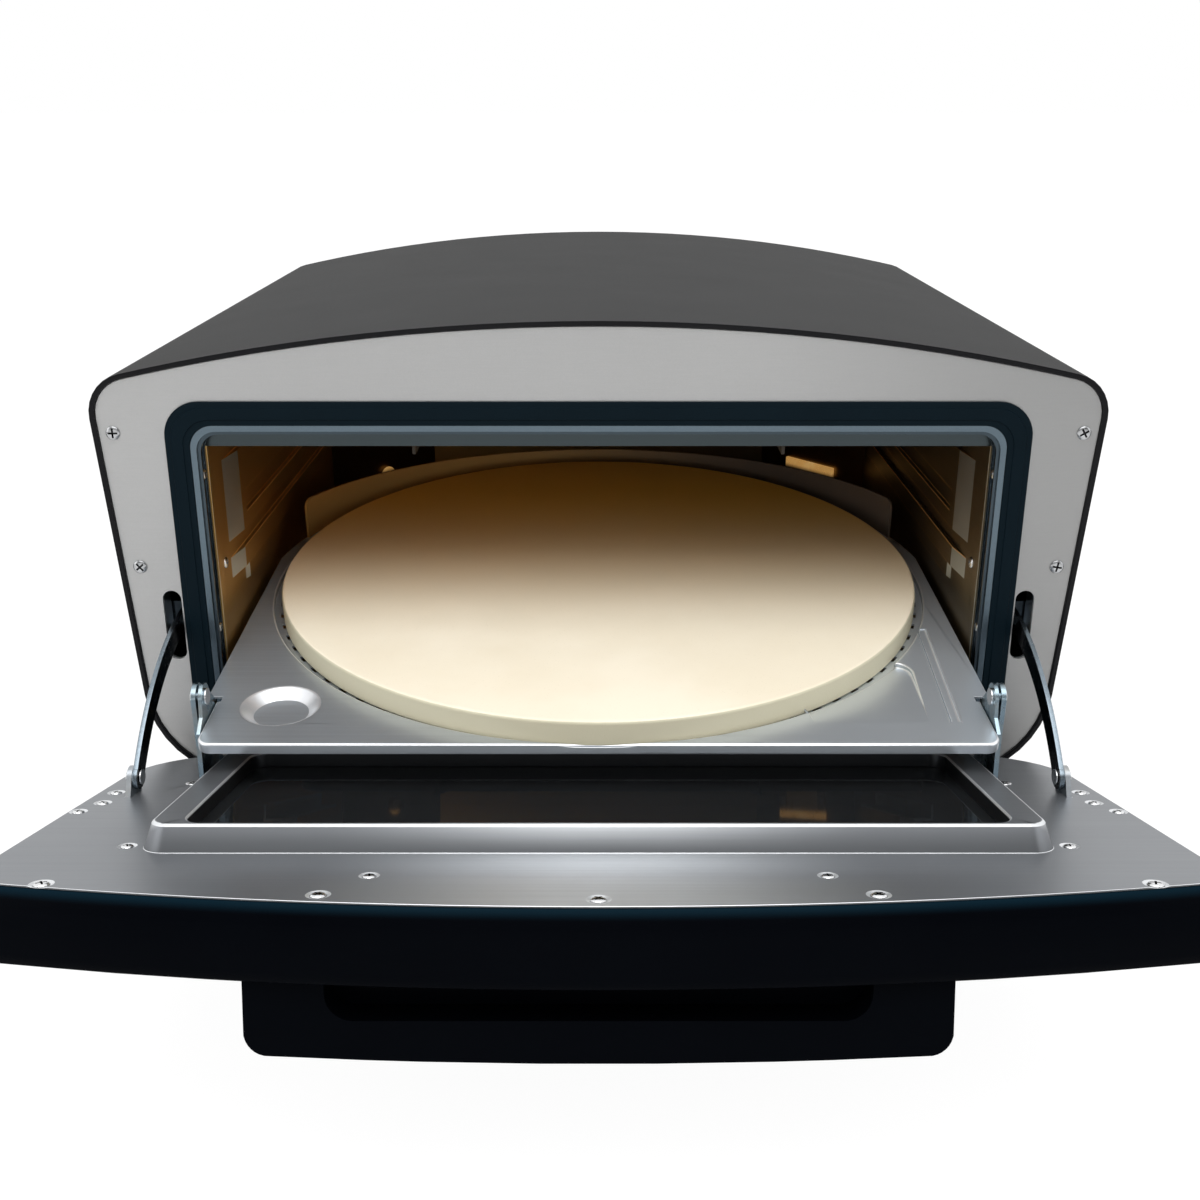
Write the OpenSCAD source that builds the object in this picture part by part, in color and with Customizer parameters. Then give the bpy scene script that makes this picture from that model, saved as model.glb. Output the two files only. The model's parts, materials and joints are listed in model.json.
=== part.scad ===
// Countertop electric pizza oven with a drop-down door that draws its stone tray out.
// Millimetres. X runs to the right, Y to the back and Z up from the table.
// Door pieces are drawn with the door shut and swung to the open rest pose by in_door().
// Tray pieces are drawn flat round the centre of the stone's top and placed by in_tray().

/* [Stone and tray] */
// Diameter of the baking stone
stone_d = 304.8; // [280:0.1:370]
// Thickness of the baking stone
stone_t = 12; // [9:0.5:16]
// Gap between the stone and the wall of its recess, at the sides
stone_gap = 5; // [3:0.5:8]
// Width of the flat land beside the recess
tray_land = 5.3; // [4.5:0.1:12]
// Depth of the recess below the tray's face
recess_drop = 3; // [1.5:0.5:5]
// Thickness of the tray's sheet
tray_t = 1; // [0.8:0.1:1.5]
// Slope of the tray, front edge lower than the back
tray_tilt = 4.93; // [0:0.01:6]
// Height of the tray's turned-down front lip
tray_lip_h = 4.5; // [3:0.5:6]
// Height of the guard's top edge above the centre of the stone
guard_rise = 17; // [14:1:24]

/* [Body] */
// Width of the front plate beside the oven mouth
cheek_w = 44.3; // [42:0.1:70]
// Height of the front plate between the hinge line and the mouth
sill_h = 19.8; // [19.6:0.1:40]
// Height of the front plate over the middle of the mouth
brow_h = 47.1; // [40:0.1:80]
// Height of the oven mouth
mouth_h = 130.4; // [120:0.1:170]
// Radius of the arched roof
arch_r = 905; // [700:5:1400]
// Radius of the two upper corners
corner_r = 18; // [12:1:30]
// Radius of the two lower corners
foot_r = 45; // [30:1:60]
// Inward lean of the sides towards the bottom, in degrees
side_taper = 3.9; // [0:0.1:6]
// Thickness of the outer shell
shell_t = 2.4; // [1.5:0.1:3]
// Thickness of the front plate
plate_t = 1.5; // [1:0.1:2]
// Space behind the cavity for wiring
service_gap = 40.5; // [32:0.5:80]

/* [Cavity] */
// Side clearance between the tray and the cavity walls
tray_clear = 2.8; // [2.4:0.1:6]
// Clearance behind the guard when the door is shut
back_clear = 8; // [5:1:30]
// Thickness of the cavity's sheet
cavity_t = 0.8; // [0.6:0.1:1.2]
// Width of the steel rim round the mouth
rim_w = 4; // [3:0.5:6]
// Width of the gasket round the rim
gasket_w = 10; // [8:0.5:12]
// Diameter of the heating elements
element_d = 6.5; // [6:0.1:8]

/* [Door] */
// Thickness of the door
door_t = 27.5; // [24:0.5:36]
// Gap between the shut door and the front plate
door_gap = 2; // [2:0.1:3]
// Angle that the door swings down
open_angle = 77; // [70:1:80]
// Thickness of the door's steel lining
lining_t = 0.8; // [0.6:0.1:1.2]
// Wall of the moulded door shell
door_wall = 2.5; // [2:0.1:3]
// Height of the raised window frame above the lining
frame_h = 9.5; // [7:0.5:10]
// Width of the window frame between its outer foot and the glass
frame_w = 14.5; // [12:0.5:22]
// Width of the handle
handle_w = 226; // [180:1:260]
// Distance that the handle stands out from the door
handle_out = 28.5; // [26:0.5:40]
// Thickness of the handle's bar
bar_t = 14.5; // [12:0.5:18]
// Height of the handle's bar
bar_h = 16; // [14:0.5:22]

/* [Linkage] */
// Hinge line above the bottom of the body
hinge_up = 9.7; // [9.5:0.1:12]
// Diameter of the hinge pins
hinge_pin_d = 5; // [4:0.5:6]
// Distance from the hinge line to the tray's pins
arm_r = 70; // [66:1:76]
// Diameter of the tray's pins and the stays' pins
link_pin_d = 4; // [3:0.5:5]
// Running clearance of every pin, on the radius
pin_clear = 0.06; // [0.03:0.01:0.1]
// Distance from the hinge line up to the stays' pins
stay_up = 63.5; // [58:0.5:68]
// Bend radius of the stays
stay_r = 120; // [100:5:200]
// Width of the stays
stay_w = 9; // [7:0.5:10]
// Thickness of the stays
stay_t = 2; // [1.5:0.1:2.5]

/* [Base and controls] */
// Height of the plinth under the body
plinth_h = 60; // [56:1:90]
// Width of the plinth
plinth_w = 340; // [300:1:346]
// Height of the rubber feet below the plinth
foot_h = 14; // [8:1:25]
// Diameter of the rubber feet
foot_d = 36; // [24:1:44]
// Diameter of the two control knobs
knob_d = 30; // [24:1:30]
// Diameter of the two push buttons
button_d = 12; // [9:0.5:14]
// Distance that a button travels
button_travel = 2; // [1:0.1:3]

/* [Hidden] */
$fn = 48;

// stone and tray, measured from the centre of the stone's top: x across, s to the back, h up
stone_r = stone_d/2;
face_h = recess_drop - stone_t;
recess_r = stone_r + stone_gap;
recess_s = 3.4;
front_land = 1.8;
tray_front = -(stone_r + front_land);
tray_half = recess_r + tray_land;
neck_half = tray_half - 4.2;
neck_len = 38;
guard_r = stone_r + 11;
guard_t = 1.2;
guard_span = 70;
pin_s = tray_front + 22.3;
hem_r = 1.2;
hem_corner = 6;
notch_x = [stone_r*0.556, neck_half - 23.2];
notch_s = [tray_front + 17.5, tray_front + 68.5];
notch_drop = recess_drop - 0.5;
slot_step = 4.5;

// widths and heights of the body
cavity_half = tray_half + tray_clear;
mouth_half = cavity_half + 0.5;
mouth_r = 8;
body_half = mouth_half + cheek_w;
body_z = foot_h + plinth_h;
mouth_z = body_z + hinge_up + sill_h;
mouth_top = mouth_z + mouth_h;
crown_z = mouth_top + brow_h;
seat_gap = 0.15;
shell_lip = 1.2;

// hinge line, and the points that the linkage turns about, as [y, z]
hinge_in = 6.1;
hinge = [-door_gap - hinge_in, body_z + hinge_up];
arm_angle = open_angle/2;
arm_open = hinge + arm_r*[-sin(arm_angle), cos(arm_angle)];
arm_shut = hinge + arm_r*[sin(arm_angle), cos(arm_angle)];
lug_out = 6.5;
stay_shut = [lug_out - door_gap, hinge[1] + stay_up];
stay_open = swing(stay_shut);

// place of the stone's centre at rest, which puts the tray's pins on the drive arms
stone_y = arm_open[0] - pin_s*cos(tray_tilt);
stone_z = arm_open[1] - pin_s*sin(tray_tilt);
travel = arm_shut[0] - arm_open[0];
cavity_y = 8;
cavity_back = stone_y + travel + guard_r + guard_t + back_clear;
cavity_z = mouth_z + 0.5;
cavity_top = mouth_top;
body_back = cavity_back + service_gap;

// outline of the body's front: centres of its arcs as [x, z]
arch_c = [0, crown_z - arch_r];
arch_a = asin((body_half - corner_r)/(arch_r - corner_r));
top_c = arch_c + (arch_r - corner_r)*[sin(arch_a), cos(arch_a)];
side_d = cos(side_taper)*top_c[0] - sin(side_taper)*top_c[1] + corner_r;
lug_z = hinge[1] + stay_up;
side_x = (side_d + sin(side_taper)*lug_z)/cos(side_taper);

// door
door_z = body_z + 5.6;
door_face = -door_gap - door_t;
lining_inset = 3.8;
shell_stations = [[-door_gap - lining_t, 3.4], [-9, 0], [door_face + 5.5, 0], [door_face + 1.5, 2],
                  [door_face, 5]];
frame_half = mouth_half - 7;
frame_z = mouth_z + 2;
frame_top = mouth_top - 8.7;
window_half = frame_half - frame_w;
window_z = frame_z + 13;
window_top = frame_top - 4.7;
glass_lap = 8;
inner_glass_t = 3;
outer_glass_t = 4;
handle_z = crown_z - 30;

// linkage, as distances from the middle plane
ear_x = 150;
ear_t = 3;
ear_r = 4.5;
lug_t = 3;
bracket_x = neck_half + 0.2;
bracket_t = 1.5;
arm_x = bracket_x + bracket_t + 1;
arm_t = 2;
slot_x = mouth_half + rim_w + gasket_w + 4.9;
slot_w = 8;
slot_z = stay_shut[1] + 1.8;
slot_h = 32;
stay_x = slot_x - 1.7;
lug_x = slot_x + 0.5;
guide_t = 1.5;
cheek_in = slot_x - 6.7;
cheek_out = slot_x + 5.2;

// stays: an arc through the pin and a point in the slot
stay_via = [0, slot_z - 2];
stay_chord = norm(stay_via - stay_open);
stay_dir = (stay_via - stay_open)/stay_chord;
stay_c = (stay_via + stay_open)/2
         + sqrt(stay_r*stay_r - stay_chord*stay_chord/4)*[stay_dir[1], -stay_dir[0]];
stay_a0 = heading(stay_open - stay_c);
stay_tail = 18;
stay_a1 = heading(stay_via - stay_c) - stay_tail/stay_r*180/PI;
tail_end = stay_c + stay_r*[cos(stay_a1), sin(stay_a1)];

// plinth and controls
plinth_y = 4;
plinth_d = body_back - 14 - plinth_y;
plinth_t = 3;
fascia_t = 2.5;
fascia_w = plinth_w - 36;
fascia_h = 44;
control_z = foot_h + 29;
knob_x = 95;
button_x = 24;
shaft_d = 6;

// corner panels, in plan
panel_run = 55.5;
panel_rise = 68;
panel_t = 1;
panel_len = norm([panel_run, panel_rise]);
panel_a = atan2(panel_rise, -panel_run);
lamp_w = 40;
lamp_h = 26;
lamp_z = cavity_z + 26;

// heating elements, two hairpins above the stone and two under the tray
element_r = element_d/2;
pad_z = mouth_z + 49.5;
pad_end = cavity_back - 78;
hairpin_gap = 44;
upper_y = [48, cavity_back - 130];
lower_y = [88, cavity_back - 116];
upper_z = cavity_top - 13;
lower_z = cavity_z + 9;

// ledges in the cavity and the runners under the tray's edges
runner_s = [-15, 25];
runner_w = tray_land - tray_t - 0.5;
runner_gap = 0.2;
ledge_z = stone_z - 20.3;
ledge_y = stone_y + runner_s[0] - 3;
ledge_end = stone_y + travel + runner_s[1] + 6;

// back panel, screws and door fittings
back_in = 10;
back_t = 1.2;
gland = [slot_x - 50, body_z + 28];
panel_screw_spots = [[body_half - 30, crown_z - 60], [body_half - 40, body_z + 50]];
top_screw_z = crown_z - 20;
knob_deep = 16;
plate_screw_spots = [[body_half - 8.7, crown_z - 46.5], [body_half - 13.2, crown_z - 105.2]];
rim_screw_y = 4.2;
rim_screw_z = [mouth_z + 43, mouth_top - 18];
wall_screw = [19, mouth_z + 68];
big_screws = [[0, crown_z - 10.2], [88, crown_z - 14.3], [mouth_half + 13, crown_z - 24.5]];
small_screws = [[75, crown_z - 32.5], [mouth_half - 1, mouth_top - 17], [side_x - 5.6, lug_z + 27],
                [side_x - 10.6, lug_z + 15], [side_x - 10.6, lug_z]];
dimple = 0.4;
arm_foot_z = [mouth_z + 3, mouth_z + 32];
arm_screw = [mouth_half + 1, mouth_z + 30];

// handle: its two legs, the floor of its pocket and the bow of its front face
pocket_floor = 3;
leg_w = 26;
leg_x = handle_w/2 - leg_w/2;
bow = 3;
bow_r = (handle_w*handle_w/4 + bow*bow)/(2*bow);

// the row's origin is the middle of the footprint at rest, on the table
door_tip = min([for (s = shell_stations) swing([s[0], crown_z - s[1]])[0]]);
origin_y = (body_back + door_tip)/2;

function heading(v) = atan2(v[1], v[0]);
function swing(p) = hinge + [(p[0] - hinge[0])*cos(open_angle) - (p[1] - hinge[1])*sin(open_angle),
                             (p[0] - hinge[0])*sin(open_angle) + (p[1] - hinge[1])*cos(open_angle)];
// points on an arc, with the angle counted from straight up towards +X
function arc_points(c, r, a0, a1, n) = [for (i = [0:n]) let (a = a0 + (a1 - a0)*i/n) c + r*[sin(a), cos(a)]];
function lower_c(z0) = [(side_d - foot_r + sin(side_taper)*(z0 + foot_r))/cos(side_taper), z0 + foot_r];
function half_face(inset, z0) = concat(
    arc_points(arch_c, arch_r - inset, 0, arch_a*0.95, 12),
    arc_points(top_c, corner_r - inset, arch_a, 90 + side_taper, 7),
    arc_points(lower_c(z0), foot_r - inset, 90 + side_taper, 180, 9));
function face_points(inset, z0) = let (h = half_face(inset, z0))
    concat(h, [for (i = [len(h) - 1:-1:1]) [-h[i][0], h[i][1]]]);

module place() {
    translate([0, -origin_y, 0]) children();
}

module in_door() {
    place() translate([0, hinge[0], hinge[1]]) rotate([open_angle, 0, 0])
        translate([0, -hinge[0], -hinge[1]]) children();
}

module in_tray() {
    place() translate([0, stone_y, stone_z]) rotate([tray_tilt, 0, 0]) children();
}

module both_sides() {
    children();
    mirror([1, 0, 0]) children();
}

// extrudes an XZ outline from y0 to y1
module along_y(y0, y1) {
    translate([0, y1, 0]) rotate([90, 0, 0]) linear_extrude(y1 - y0) children();
}

// extrudes a YZ outline from x0 to x1
module along_x(x0, x1) {
    translate([x0, 0, 0]) rotate([90, 0, 90]) linear_extrude(x1 - x0) children();
}

module rod_x(x0, x1, r, p) {
    translate([x0, p[0], p[1]]) rotate([0, 90, 0]) cylinder(h = x1 - x0, r = r);
}

module rod_y(y0, y1, r, x, z) {
    translate([x, y1, z]) rotate([90, 0, 0]) cylinder(h = y1 - y0, r = r);
}

module face(inset, z0) {
    polygon(face_points(inset, z0));
}

module soft_rect(x0, x1, z0, z1, r) {
    translate([x0 + r, z0]) square([x1 - x0 - 2*r, z1 - z0]);
    translate([x0, z0 + r]) square([x1 - x0, z1 - z0 - 2*r]);
    for (x = [x0 + r, x1 - r], z = [z0 + r, z1 - r]) translate([x, z]) circle(r);
}

// the mouth's outline, grown by g
module mouth_shape(g) {
    soft_rect(-mouth_half - g, mouth_half + g, mouth_z - g, mouth_top + g, mouth_r + g/2);
}

// a solid whose rings are the body's outline, each given as [y, inset]
module loft(stations) {
    rings = [for (s = stations) [for (p = face_points(s[1], door_z)) [p[0], s[0], p[1]]]];
    n = len(rings[0]);
    m = len(rings);
    ends = [[for (i = [n - 1:-1:0]) i], [for (i = [0:n - 1]) (m - 1)*n + i]];
    walls = [for (j = [0:m - 2], i = [0:n - 1])
        [j*n + i, j*n + (i + 1)%n, (j + 1)*n + (i + 1)%n, (j + 1)*n + i]];
    polyhedron([for (r = rings) each r], concat(ends, walls));
}

// a domed screw whose head sits on the plane y = 0 and faces -Y, with its shank behind
module screw(r, head, shank, len) {
    rotate([90, 0, 0]) rotate_extrude() polygon([[0, -len], [shank, -len], [shank, 0], [r, 0],
        [r*0.8, head*0.75], [r*0.4, head], [0, head]]);
}

// ---------------------------------------------------------------- body

module outer_shell() {
    color("#3a3a3b") place() difference() {
        along_y(-shell_lip, body_back) face(0, body_z);
        along_y(-shell_lip - 1, body_back + 1) face(shell_t, body_z);
        translate([12 - plinth_w/2, plinth_y + 12, body_z - 1])
            cube([plinth_w - 24, plinth_d - 24, shell_t + 2]);
    }
}

module stay_slot() {
    translate([slot_x, slot_z - slot_h/2 + slot_w/2]) circle(slot_w/2);
    translate([slot_x, slot_z + slot_h/2 - slot_w/2]) circle(slot_w/2);
    translate([slot_x - slot_w/2, slot_z - slot_h/2 + slot_w/2]) square([slot_w, slot_h - slot_w]);
}

module front_plate() {
    color("#b9bbbd") place() difference() {
        along_y(0, plate_t) face(shell_t + seat_gap, body_z);
        along_y(-1, plate_t + 1) mouth_shape(rim_w + 1.2);
        both_sides() {
            along_y(-1, plate_t + 1) stay_slot();
            translate([ear_x - ear_t/2 - 0.2, -1, hinge[1] - ear_r - 0.3])
                cube([ear_t + 0.4, plate_t + 2, 2*ear_r + 0.6]);
            for (p = plate_screw_spots) {
                rod_y(-1, plate_t + 1, 1.6, p[0], p[1]);
                translate([p[0], 0, p[1]]) rotate([-90, 0, 0]) cylinder(h = 0.6, r1 = 4.6, r2 = 3.4);
            }
        }
    }
}

module door_gasket() {
    color("#16191d") place() {
        difference() {
            union() {
                along_y(-1.2, 0) mouth_shape(rim_w + gasket_w);
                along_y(-1.7, -1.2) mouth_shape(rim_w + gasket_w - 2.5);
                along_y(0, plate_t + 1.5) mouth_shape(rim_w + 1.1);
            }
            along_y(-3, plate_t + 3) mouth_shape(rim_w);
            along_y(-3, -1.2) mouth_shape(rim_w + 2.5);
        }
    }
}

module cavity_rim() {
    color("#9fb1bb") place() {
        difference() {
            along_y(-0.6, cavity_y) mouth_shape(rim_w - 0.1);
            along_y(-1, cavity_y + 1) mouth_shape(0);
            along_y(-1, 0.6) mouth_shape(1.4);
            along_y(rim_screw_y - 2.3, rim_screw_y + 2.3) mouth_shape(0.8);
            both_sides() for (z = rim_screw_z)
                rod_x(mouth_half - 1, mouth_half + rim_w + 1, 1.3, [rim_screw_y, z]);
        }
        along_y(cavity_y - 1, cavity_y) intersection() {
            mouth_shape(0.3);
            translate([-mouth_half - 1, mouth_top - 6.5]) square([2*mouth_half + 2, 8]);
        }
    }
}

// a pad pressed into the right wall, with a ramp at its front end
module wall_pad(y0, y1, z0, z1, ramp, out) {
    translate([0, 0, z0]) linear_extrude(z1 - z0)
        polygon([[cavity_half + 0.1, y0], [cavity_half - out, y0 + ramp], [cavity_half - out, y1 - out],
                 [cavity_half + 0.1, y1]]);
}

module element_holes(spots, z) {
    for (y = spots, d = [0, hairpin_gap])
        rod_x(cavity_half - 2, cavity_half + 4, element_r + 0.4, [y + d, z]);
}

module oven_cavity() {
    color("#6f5f4e") place() difference() {
        union() {
            difference() {
                translate([-cavity_half - cavity_t, cavity_y, cavity_z - cavity_t])
                    cube([2*(cavity_half + cavity_t), cavity_back - cavity_y + cavity_t,
                          cavity_top - cavity_z + 2*cavity_t]);
                translate([-cavity_half, cavity_y - 1, cavity_z])
                    cube([2*cavity_half, cavity_back - cavity_y + 1, cavity_top - cavity_z]);
            }
            both_sides() {
                wall_pad(50, 121, pad_z, pad_z + 7.8, 4, 1.2);
                wall_pad(27, pad_end, pad_z + 8, pad_z + 17.5, 18, 2.2);
                wall_pad(27, pad_end, pad_z + 25, pad_z + 32, 20, 2.2);
                wall_pad(27, 57, pad_z + 31.9, pad_z + 42.1, 20, 2.2);
                wall_pad(27, pad_end, pad_z + 42, upper_z - element_r - 2, 20, 2.2);
            }
        }
        element_holes(upper_y, upper_z);
        element_holes(lower_y, lower_z);
        both_sides() rod_x(cavity_half - 1, cavity_half + 2, 1.3, wall_screw);
    }
}

// frame of a right-hand corner panel: origin at its middle, X along it, Y out of the cavity
module on_panel(z) {
    translate([cavity_half - panel_run/2, cavity_back - panel_rise/2, z])
        rotate([0, 0, panel_a - 180]) children();
}

module corner_plan() {
    k = panel_t*panel_len/panel_run;
    j = panel_t*panel_len/panel_rise;
    polygon([[cavity_half, cavity_back - panel_rise], [cavity_half, cavity_back - panel_rise + k],
             [cavity_half - panel_run + j, cavity_back], [cavity_half - panel_run, cavity_back]]);
}

module corner_panels() {
    color("#7a5c3a") place() {
        difference() {
            translate([0, 0, cavity_z]) linear_extrude(cavity_top - cavity_z) corner_plan();
            on_panel(lamp_z) cube([lamp_w - 6, 6, lamp_h - 6], center = true);
        }
        mirror([1, 0, 0]) difference() {
            translate([0, 0, cavity_z]) linear_extrude(cavity_top - cavity_z) corner_plan();
            on_panel(lamp_z + 4) rotate([90, 0, 0]) cylinder(h = 8, r = 3.2, center = true);
        }
    }
}

module lamp_frame() {
    color("#e0a04a") place() on_panel(lamp_z) difference() {
        translate([-lamp_w/2, -2.2, -lamp_h/2]) cube([lamp_w, 2.2, lamp_h]);
        translate([3 - lamp_w/2, -1.4, 3 - lamp_h/2]) cube([lamp_w - 6, 3, lamp_h - 6]);
        translate([6 - lamp_w/2, -3, 6 - lamp_h/2]) cube([lamp_w - 12, 3, lamp_h - 12]);
    }
}

module lamp_lens() {
    color("#ffe2a8") place() on_panel(lamp_z)
        translate([3.2 - lamp_w/2, -1.4, 3.2 - lamp_h/2]) cube([lamp_w - 6.4, 2.4, lamp_h - 6.4]);
}

module lamp_bulb() {
    color("#fff1d0") place() on_panel(lamp_z) {
        translate([0, 8, 0]) sphere(6);
        translate([0, 12.5, 0]) rotate([-90, 0, 0]) cylinder(h = 5.5, r = 6.5);
        translate([-19, 18, -8]) cube([38, 1.2, 16]);
        both_sides() translate([17.8, 1.02, -8]) cube([1.2, 17.5, 16]);
    }
}

module temperature_sensor() {
    color("#b07a45") place() mirror([1, 0, 0]) on_panel(lamp_z + 4) {
        rotate([90, 0, 0]) cylinder(h = 16, r = 3.1, center = true);
        translate([0, -panel_t/2 - 0.6, 0]) rotate([90, 0, 0]) cylinder(h = 1.2, r = 6);
    }
}

module insulation_blanket() {
    color("#d9d4c4") place() {
        translate([20 - cavity_half, 24, cavity_top + cavity_t])
            cube([2*cavity_half - 40, cavity_back - 48, 8]);
        translate([20 - cavity_half, cavity_back + cavity_t, cavity_z + 10])
            cube([2*cavity_half - 40, 9, cavity_top - cavity_z - 20]);
    }
}

module back_panel() {
    color("#3a3a3b") place() difference() {
        along_y(body_back - back_in - back_t, body_back - back_in) face(shell_t + seat_gap, body_z);
        for (x = [-120:12:120]) translate([x - 2, body_back - back_in - 3, crown_z - 76])
            cube([4, 6, 36 - abs(x)*0.1]);
        for (x = [-96:12:48]) translate([x - 2, body_back - back_in - 3, body_z + 24]) cube([4, 6, 26]);
        rod_y(body_back - back_in - 3, body_back, 7, gland[0], gland[1]);
        both_sides() for (p = panel_screw_spots) rod_y(body_back - back_in - 3, body_back, 1.55, p[0], p[1]);
        rod_y(body_back - back_in - 3, body_back, 1.55, 0, top_screw_z);
    }
}

module cord_gland() {
    color("#1d1d1e") place() difference() {
        union() {
            rod_y(body_back - back_in, body_back - 1.5, 10, gland[0], gland[1]);
            rod_y(body_back - back_in - back_t, body_back - back_in, 6.9, gland[0], gland[1]);
            rod_y(body_back - back_in - back_t - 5, body_back - back_in - back_t, 9.5, gland[0], gland[1]);
        }
        rod_y(body_back - 40, body_back + 1, 3.8, gland[0], gland[1]);
    }
}

// ---------------------------------------------------------------- heaters

// a hairpin element with both ends through the right wall
module hairpin(y, z) {
    left = -cavity_half + 34;
    for (d = [0, hairpin_gap]) rod_x(left, cavity_half + 16, element_r, [y + d, z]);
    translate([left, y + hairpin_gap/2, z]) rotate([0, 0, 90]) rotate_extrude(angle = 180)
        translate([hairpin_gap/2, 0]) circle(element_r);
}

module upper_heaters() {
    color("#4c4a48") place() for (y = upper_y) hairpin(y, upper_z);
}

module lower_heaters() {
    color("#4c4a48") place() for (y = lower_y) hairpin(y, lower_z);
}

module heater_terminals() {
    rows = [[upper_y, upper_z], [lower_y, lower_z]];
    color("#e9e4da") place() for (row = rows, y = row[0], d = [0, hairpin_gap])
        difference() {
            union() {
                rod_x(cavity_half + cavity_t, cavity_half + cavity_t + 2, 7, [y + d, row[1]]);
                rod_x(cavity_half + cavity_t, cavity_half + 13, 5, [y + d, row[1]]);
            }
            rod_x(cavity_half, cavity_half + 20, element_r + 0.05, [y + d, row[1]]);
        }
}

module element_bracket(y, z, z0, z1) {
    difference() {
        translate([-0.75, y - 6, z0]) cube([1.5, hairpin_gap + 12, z1 - z0]);
        for (d = [0, hairpin_gap]) rod_x(-2, 2, element_r + 0.05, [y + d, z]);
    }
}

module heater_brackets() {
    color("#8b8d8f") place() for (x = [-cavity_half/2, cavity_half/2]) translate([x, 0, 0]) {
        for (y = upper_y) element_bracket(y, upper_z, upper_z - 6, cavity_top);
        for (y = lower_y) element_bracket(y, lower_z, cavity_z, lower_z + 5);
    }
}

// ---------------------------------------------------------------- tray support

module tray_ledges() {
    color("#8f8c86") place() both_sides() {
        translate([cavity_half - 10, ledge_y, ledge_z - 1.2]) cube([10, ledge_end - ledge_y, 1.2]);
        translate([cavity_half - 1.2, ledge_y, ledge_z - 8]) cube([1.2, ledge_end - ledge_y, 7]);
    }
}

// ---------------------------------------------------------------- base and controls

module plinth_plan(inset) {
    translate([0, plinth_y + inset])
        soft_rect(inset - plinth_w/2, plinth_w/2 - inset, 0, plinth_d - 2*inset, 14 - inset);
}

module control_holes(y0, y1) {
    for (x = [-knob_x, knob_x]) rod_y(y0, y1, shaft_d/2 + 0.4, x, control_z);
    for (x = [-button_x, button_x]) rod_y(y0, y1, button_d/2 + 0.15, x, control_z);
    rod_y(y0, y1, 3.1, 0, control_z);
}

module base_plinth() {
    color("#232324") place() difference() {
        translate([0, 0, foot_h]) linear_extrude(plinth_h) plinth_plan(0);
        translate([0, 0, foot_h - 1]) linear_extrude(plinth_h + 2) plinth_plan(plinth_t);
        control_holes(plinth_y - 1, plinth_y + plinth_t + 1);
        both_sides() for (y = [plinth_y + 60:14:plinth_y + plinth_d - 60])
            translate([plinth_w/2 - plinth_t - 1, y, foot_h + 18]) cube([plinth_t + 2, 5, plinth_h - 36]);
    }
}

module base_pan() {
    color("#6d7073") place() difference() {
        translate([0, 0, foot_h + 2]) linear_extrude(1.5) plinth_plan(plinth_t + 0.1);
        for (x = [-90:15:90]) translate([x - 2.5, plinth_y + 120, foot_h]) cube([5, 90, 6]);
    }
}

module rubber_feet() {
    color("#151515") place() both_sides() for (y = [plinth_y + 30, plinth_y + plinth_d - 30])
        translate([plinth_w/2 - 30, y, 0]) {
            cylinder(h = 2, r1 = foot_d/2 - 2, r2 = foot_d/2);
            translate([0, 0, 2]) cylinder(h = foot_h - 2, r = foot_d/2);
            translate([0, 0, foot_h]) cylinder(h = 2, r = foot_d/2 - 6);
        }
}

module control_fascia() {
    color("#101112") place() difference() {
        along_y(plinth_y - fascia_t, plinth_y)
            soft_rect(-fascia_w/2, fascia_w/2, control_z - fascia_h/2, control_z + fascia_h/2, 6);
        control_holes(plinth_y - fascia_t - 1, plinth_y + 1);
    }
}

module control_body(x, w, h, deep) {
    difference() {
        translate([x - w/2, plinth_y + plinth_t, control_z - h/2]) cube([w, deep, h]);
        rod_y(plinth_y, plinth_y + plinth_t + deep - 6, shaft_d/2 + pin_clear, x, control_z);
    }
}

module thermostat_body() {
    color("#b9b3a4") place() control_body(-knob_x, 38, 34, 30);
}

module timer_body() {
    color("#8d9093") place() control_body(knob_x, 42, 40, 36);
}

module switch_bodies() {
    color("#2a2b2d") place() for (x = [-button_x, button_x])
        translate([x - 9, plinth_y + plinth_t, control_z - 9]) difference() {
            cube([18, 24, 18]);
            translate([9, 6, 9]) rotate([90, 0, 0]) cylinder(h = 8, r = button_d/2 + 0.15);
        }
}

module indicator_lens() {
    color("#ff7a2a") place() {
        rod_y(plinth_y - fascia_t - 0.8, plinth_y + plinth_t + 4, 3, 0, control_z);
        rod_y(plinth_y + plinth_t, plinth_y + plinth_t + 3, 5, 0, control_z);
    }
}

module knob(x) {
    front = plinth_y - fascia_t - 0.4 - knob_deep;
    translate([x, front, control_z]) rotate([-90, 0, 0]) difference() {
        rotate_extrude() polygon([[0, 0], [knob_d/2 - 3.5, 0], [knob_d/2 - 2, 1.5], [knob_d/2 - 1, 12],
            [knob_d/2, 13], [knob_d/2, knob_deep], [0, knob_deep]]);
        translate([0, 0, 3]) cylinder(h = knob_deep, r = shaft_d/2);
        translate([-0.9, -knob_d/2 + 1.5, -1]) cube([1.8, knob_d/2 - 4, 1.8]);
        for (a = [0:20:340]) rotate([0, 0, a])
            translate([knob_d/2 - 0.4, 0, 2.5]) cylinder(h = 9, r = 1.2, $fn = 16);
    }
}

module knob_shaft(x) {
    rod_y(plinth_y - fascia_t - 0.4 - knob_deep + 3, plinth_y + plinth_t + 20, shaft_d/2, x, control_z);
}

module temperature_knob() {
    color("#1b1c1d") place() knob(-knob_x);
}

module timer_knob() {
    color("#1b1c1d") place() knob(knob_x);
}

module temperature_shaft() {
    color("#a9acaf") place() knob_shaft(-knob_x);
}

module timer_shaft() {
    color("#a9acaf") place() knob_shaft(knob_x);
}

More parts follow.
